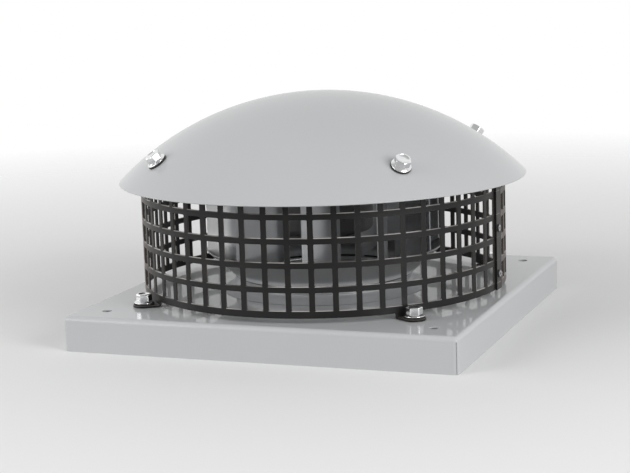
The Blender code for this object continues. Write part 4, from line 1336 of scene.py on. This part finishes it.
def level_at(curve, radius):
    """The height of a curve at a radius, straight between its points."""
    for (outer, high), (inner, low) in zip(curve, curve[1:]):
        if inner <= radius <= outer:
            return low + (high - low) * (radius - inner) / max(outer - inner, MERGED)
    return curve[0][1] if radius > curve[0][0] else curve[-1][1]


def blade_plan(part):
    """A point of a blade's plan, from 0 at its tip to 1 at its inner edge: a bowed chord."""
    tip = around(0, IMPELLER_RADIUS - BLADE_TIP_INSET, 0)
    chord = around(BLADE_SWEEP, BLADE_INNER_RADIUS, 0) - tip
    outward = Vector((chord.y, -chord.x, 0)).normalized()
    return tip + chord * part + outward * (4 * BLADE_BOW * part * (1 - part))


def blade(turn):
    """One blade: a bowed sheet whose lower edge follows the shroud's inner face."""
    low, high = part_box("impeller_blade_01")
    curve = shroud_curve(IMPELLER_SHEET)[:-1]
    bm = bmesh.new()
    bmesh.ops.create_grid(bm, x_segments=28, y_segments=3, size=1)
    for vert in bm.verts:
        point = blade_plan((vert.co.x + 1) / 2)
        foot = max(level_at(curve, point.length) + SEAT_GAP, low[2])
        share = (vert.co.y + 1) / 2
        vert.co = Vector((point.x, point.y, foot + (high[2] - foot) * share))
    return moved(bm, Matrix.Rotation(turn, 4, "Z"))


def blades():
    for index in range(BLADE_COUNT):
        number = f"{index + 1:02d}"
        bm = blade(BLADE_PHASE + 2 * math.pi * index / BLADE_COUNT)
        add_piece(
            f"blade_{number}",
            bm,
            GALVANISED,
            f"impeller_blade_{number}",
            sheet=IMPELLER_SHEET,
            edge=BLADE_EDGE,
        )


# Studio


def stage_floor():
    """A pale floor that goes on past the view. It is palest where it is seen or mirrored."""
    bm = bmesh.new()
    bmesh.ops.create_grid(bm, x_segments=1, y_segments=1, size=40)
    floor = linked("floor", mesh_of("floor", bm))
    finish = Finish("pale floor", None)
    camera_ray, mirrored, through = finish.rays()
    seen = camera_ray + mirrored + through
    finish.set(
        base_color=finish.blend(seen, grey(0.65), grey(0.88)),
        roughness=0.7,
        specular_ior_level=0.1,
        alpha=finish.span(finish.radius(), *FLOOR_FADE, 1, 0),
    )
    floor.data.materials.append(finish.material)


def world():
    """An even pale room, dim low down in front. What is seen or mirrored of it behind is white."""
    made = bpy.data.worlds.new("studio")
    bpy.context.scene.world = made
    studio = NodeTree(made)
    _, back, up = studio.split(studio.node("ShaderNodeTexCoord", output="Generated"))
    camera_ray, mirrored, through = studio.rays()
    horizon = studio.span(back, -0.7, 0.5, ROOM_FRONT, ROOM_BACK)
    room = studio.span(up, 0.12, 0.55, horizon, ROOM_TOP)
    backdrop = studio.span(back, -0.1, 0.3, room, 1)
    reflected = studio.span(studio.maths("MAXIMUM", mirrored, through), 0, 1, room, backdrop)
    background = studio.nodes["Background"].inputs
    studio.feed(background["Color"], grey(1))
    studio.feed(background["Strength"], studio.span(camera_ray, 0, 1, reflected, 1))


def lamps():
    for name, place, side, watts in LAMPS:
        light = bpy.data.lights.new(name, "AREA")
        light.size = side
        light.energy = watts
        obj = linked(name, light)
        obj.location = place
        aim = LAMP_TARGET - Vector(place)
        obj.rotation_euler = aim.to_track_quat("-Z", "Y").to_euler()


def camera():
    data = bpy.data.cameras.new("camera")
    data.lens = CAMERA_LENS
    data.sensor_width = CAMERA_SENSOR
    data.clip_start = 0.05
    data.clip_end = 200
    obj = linked("camera", data)
    azimuth = Matrix.Rotation(math.radians(CAMERA_AZIMUTH), 4, "Z")
    elevation = Matrix.Rotation(math.radians(90 - CAMERA_ELEVATION), 4, "X")
    roll = Matrix.Rotation(math.radians(CAMERA_ROLL), 4, "Z")
    obj.matrix_world = Matrix.Translation(CAMERA_PLACE) @ azimuth @ elevation @ roll
    bpy.context.scene.camera = obj


camera()
base_tray()
inlet_nozzle()
guard()
seam_rivets()
domed_cap()
guard_fasteners()
dome_fasteners()
motor_plate()
motor_screws()
motor()
connection_box()
box_lid()
cable_gland()
backplate()
shroud()
blades()
stage_floor()
world()
lamps()

bpy.context.scene.view_settings.view_transform = "Standard"
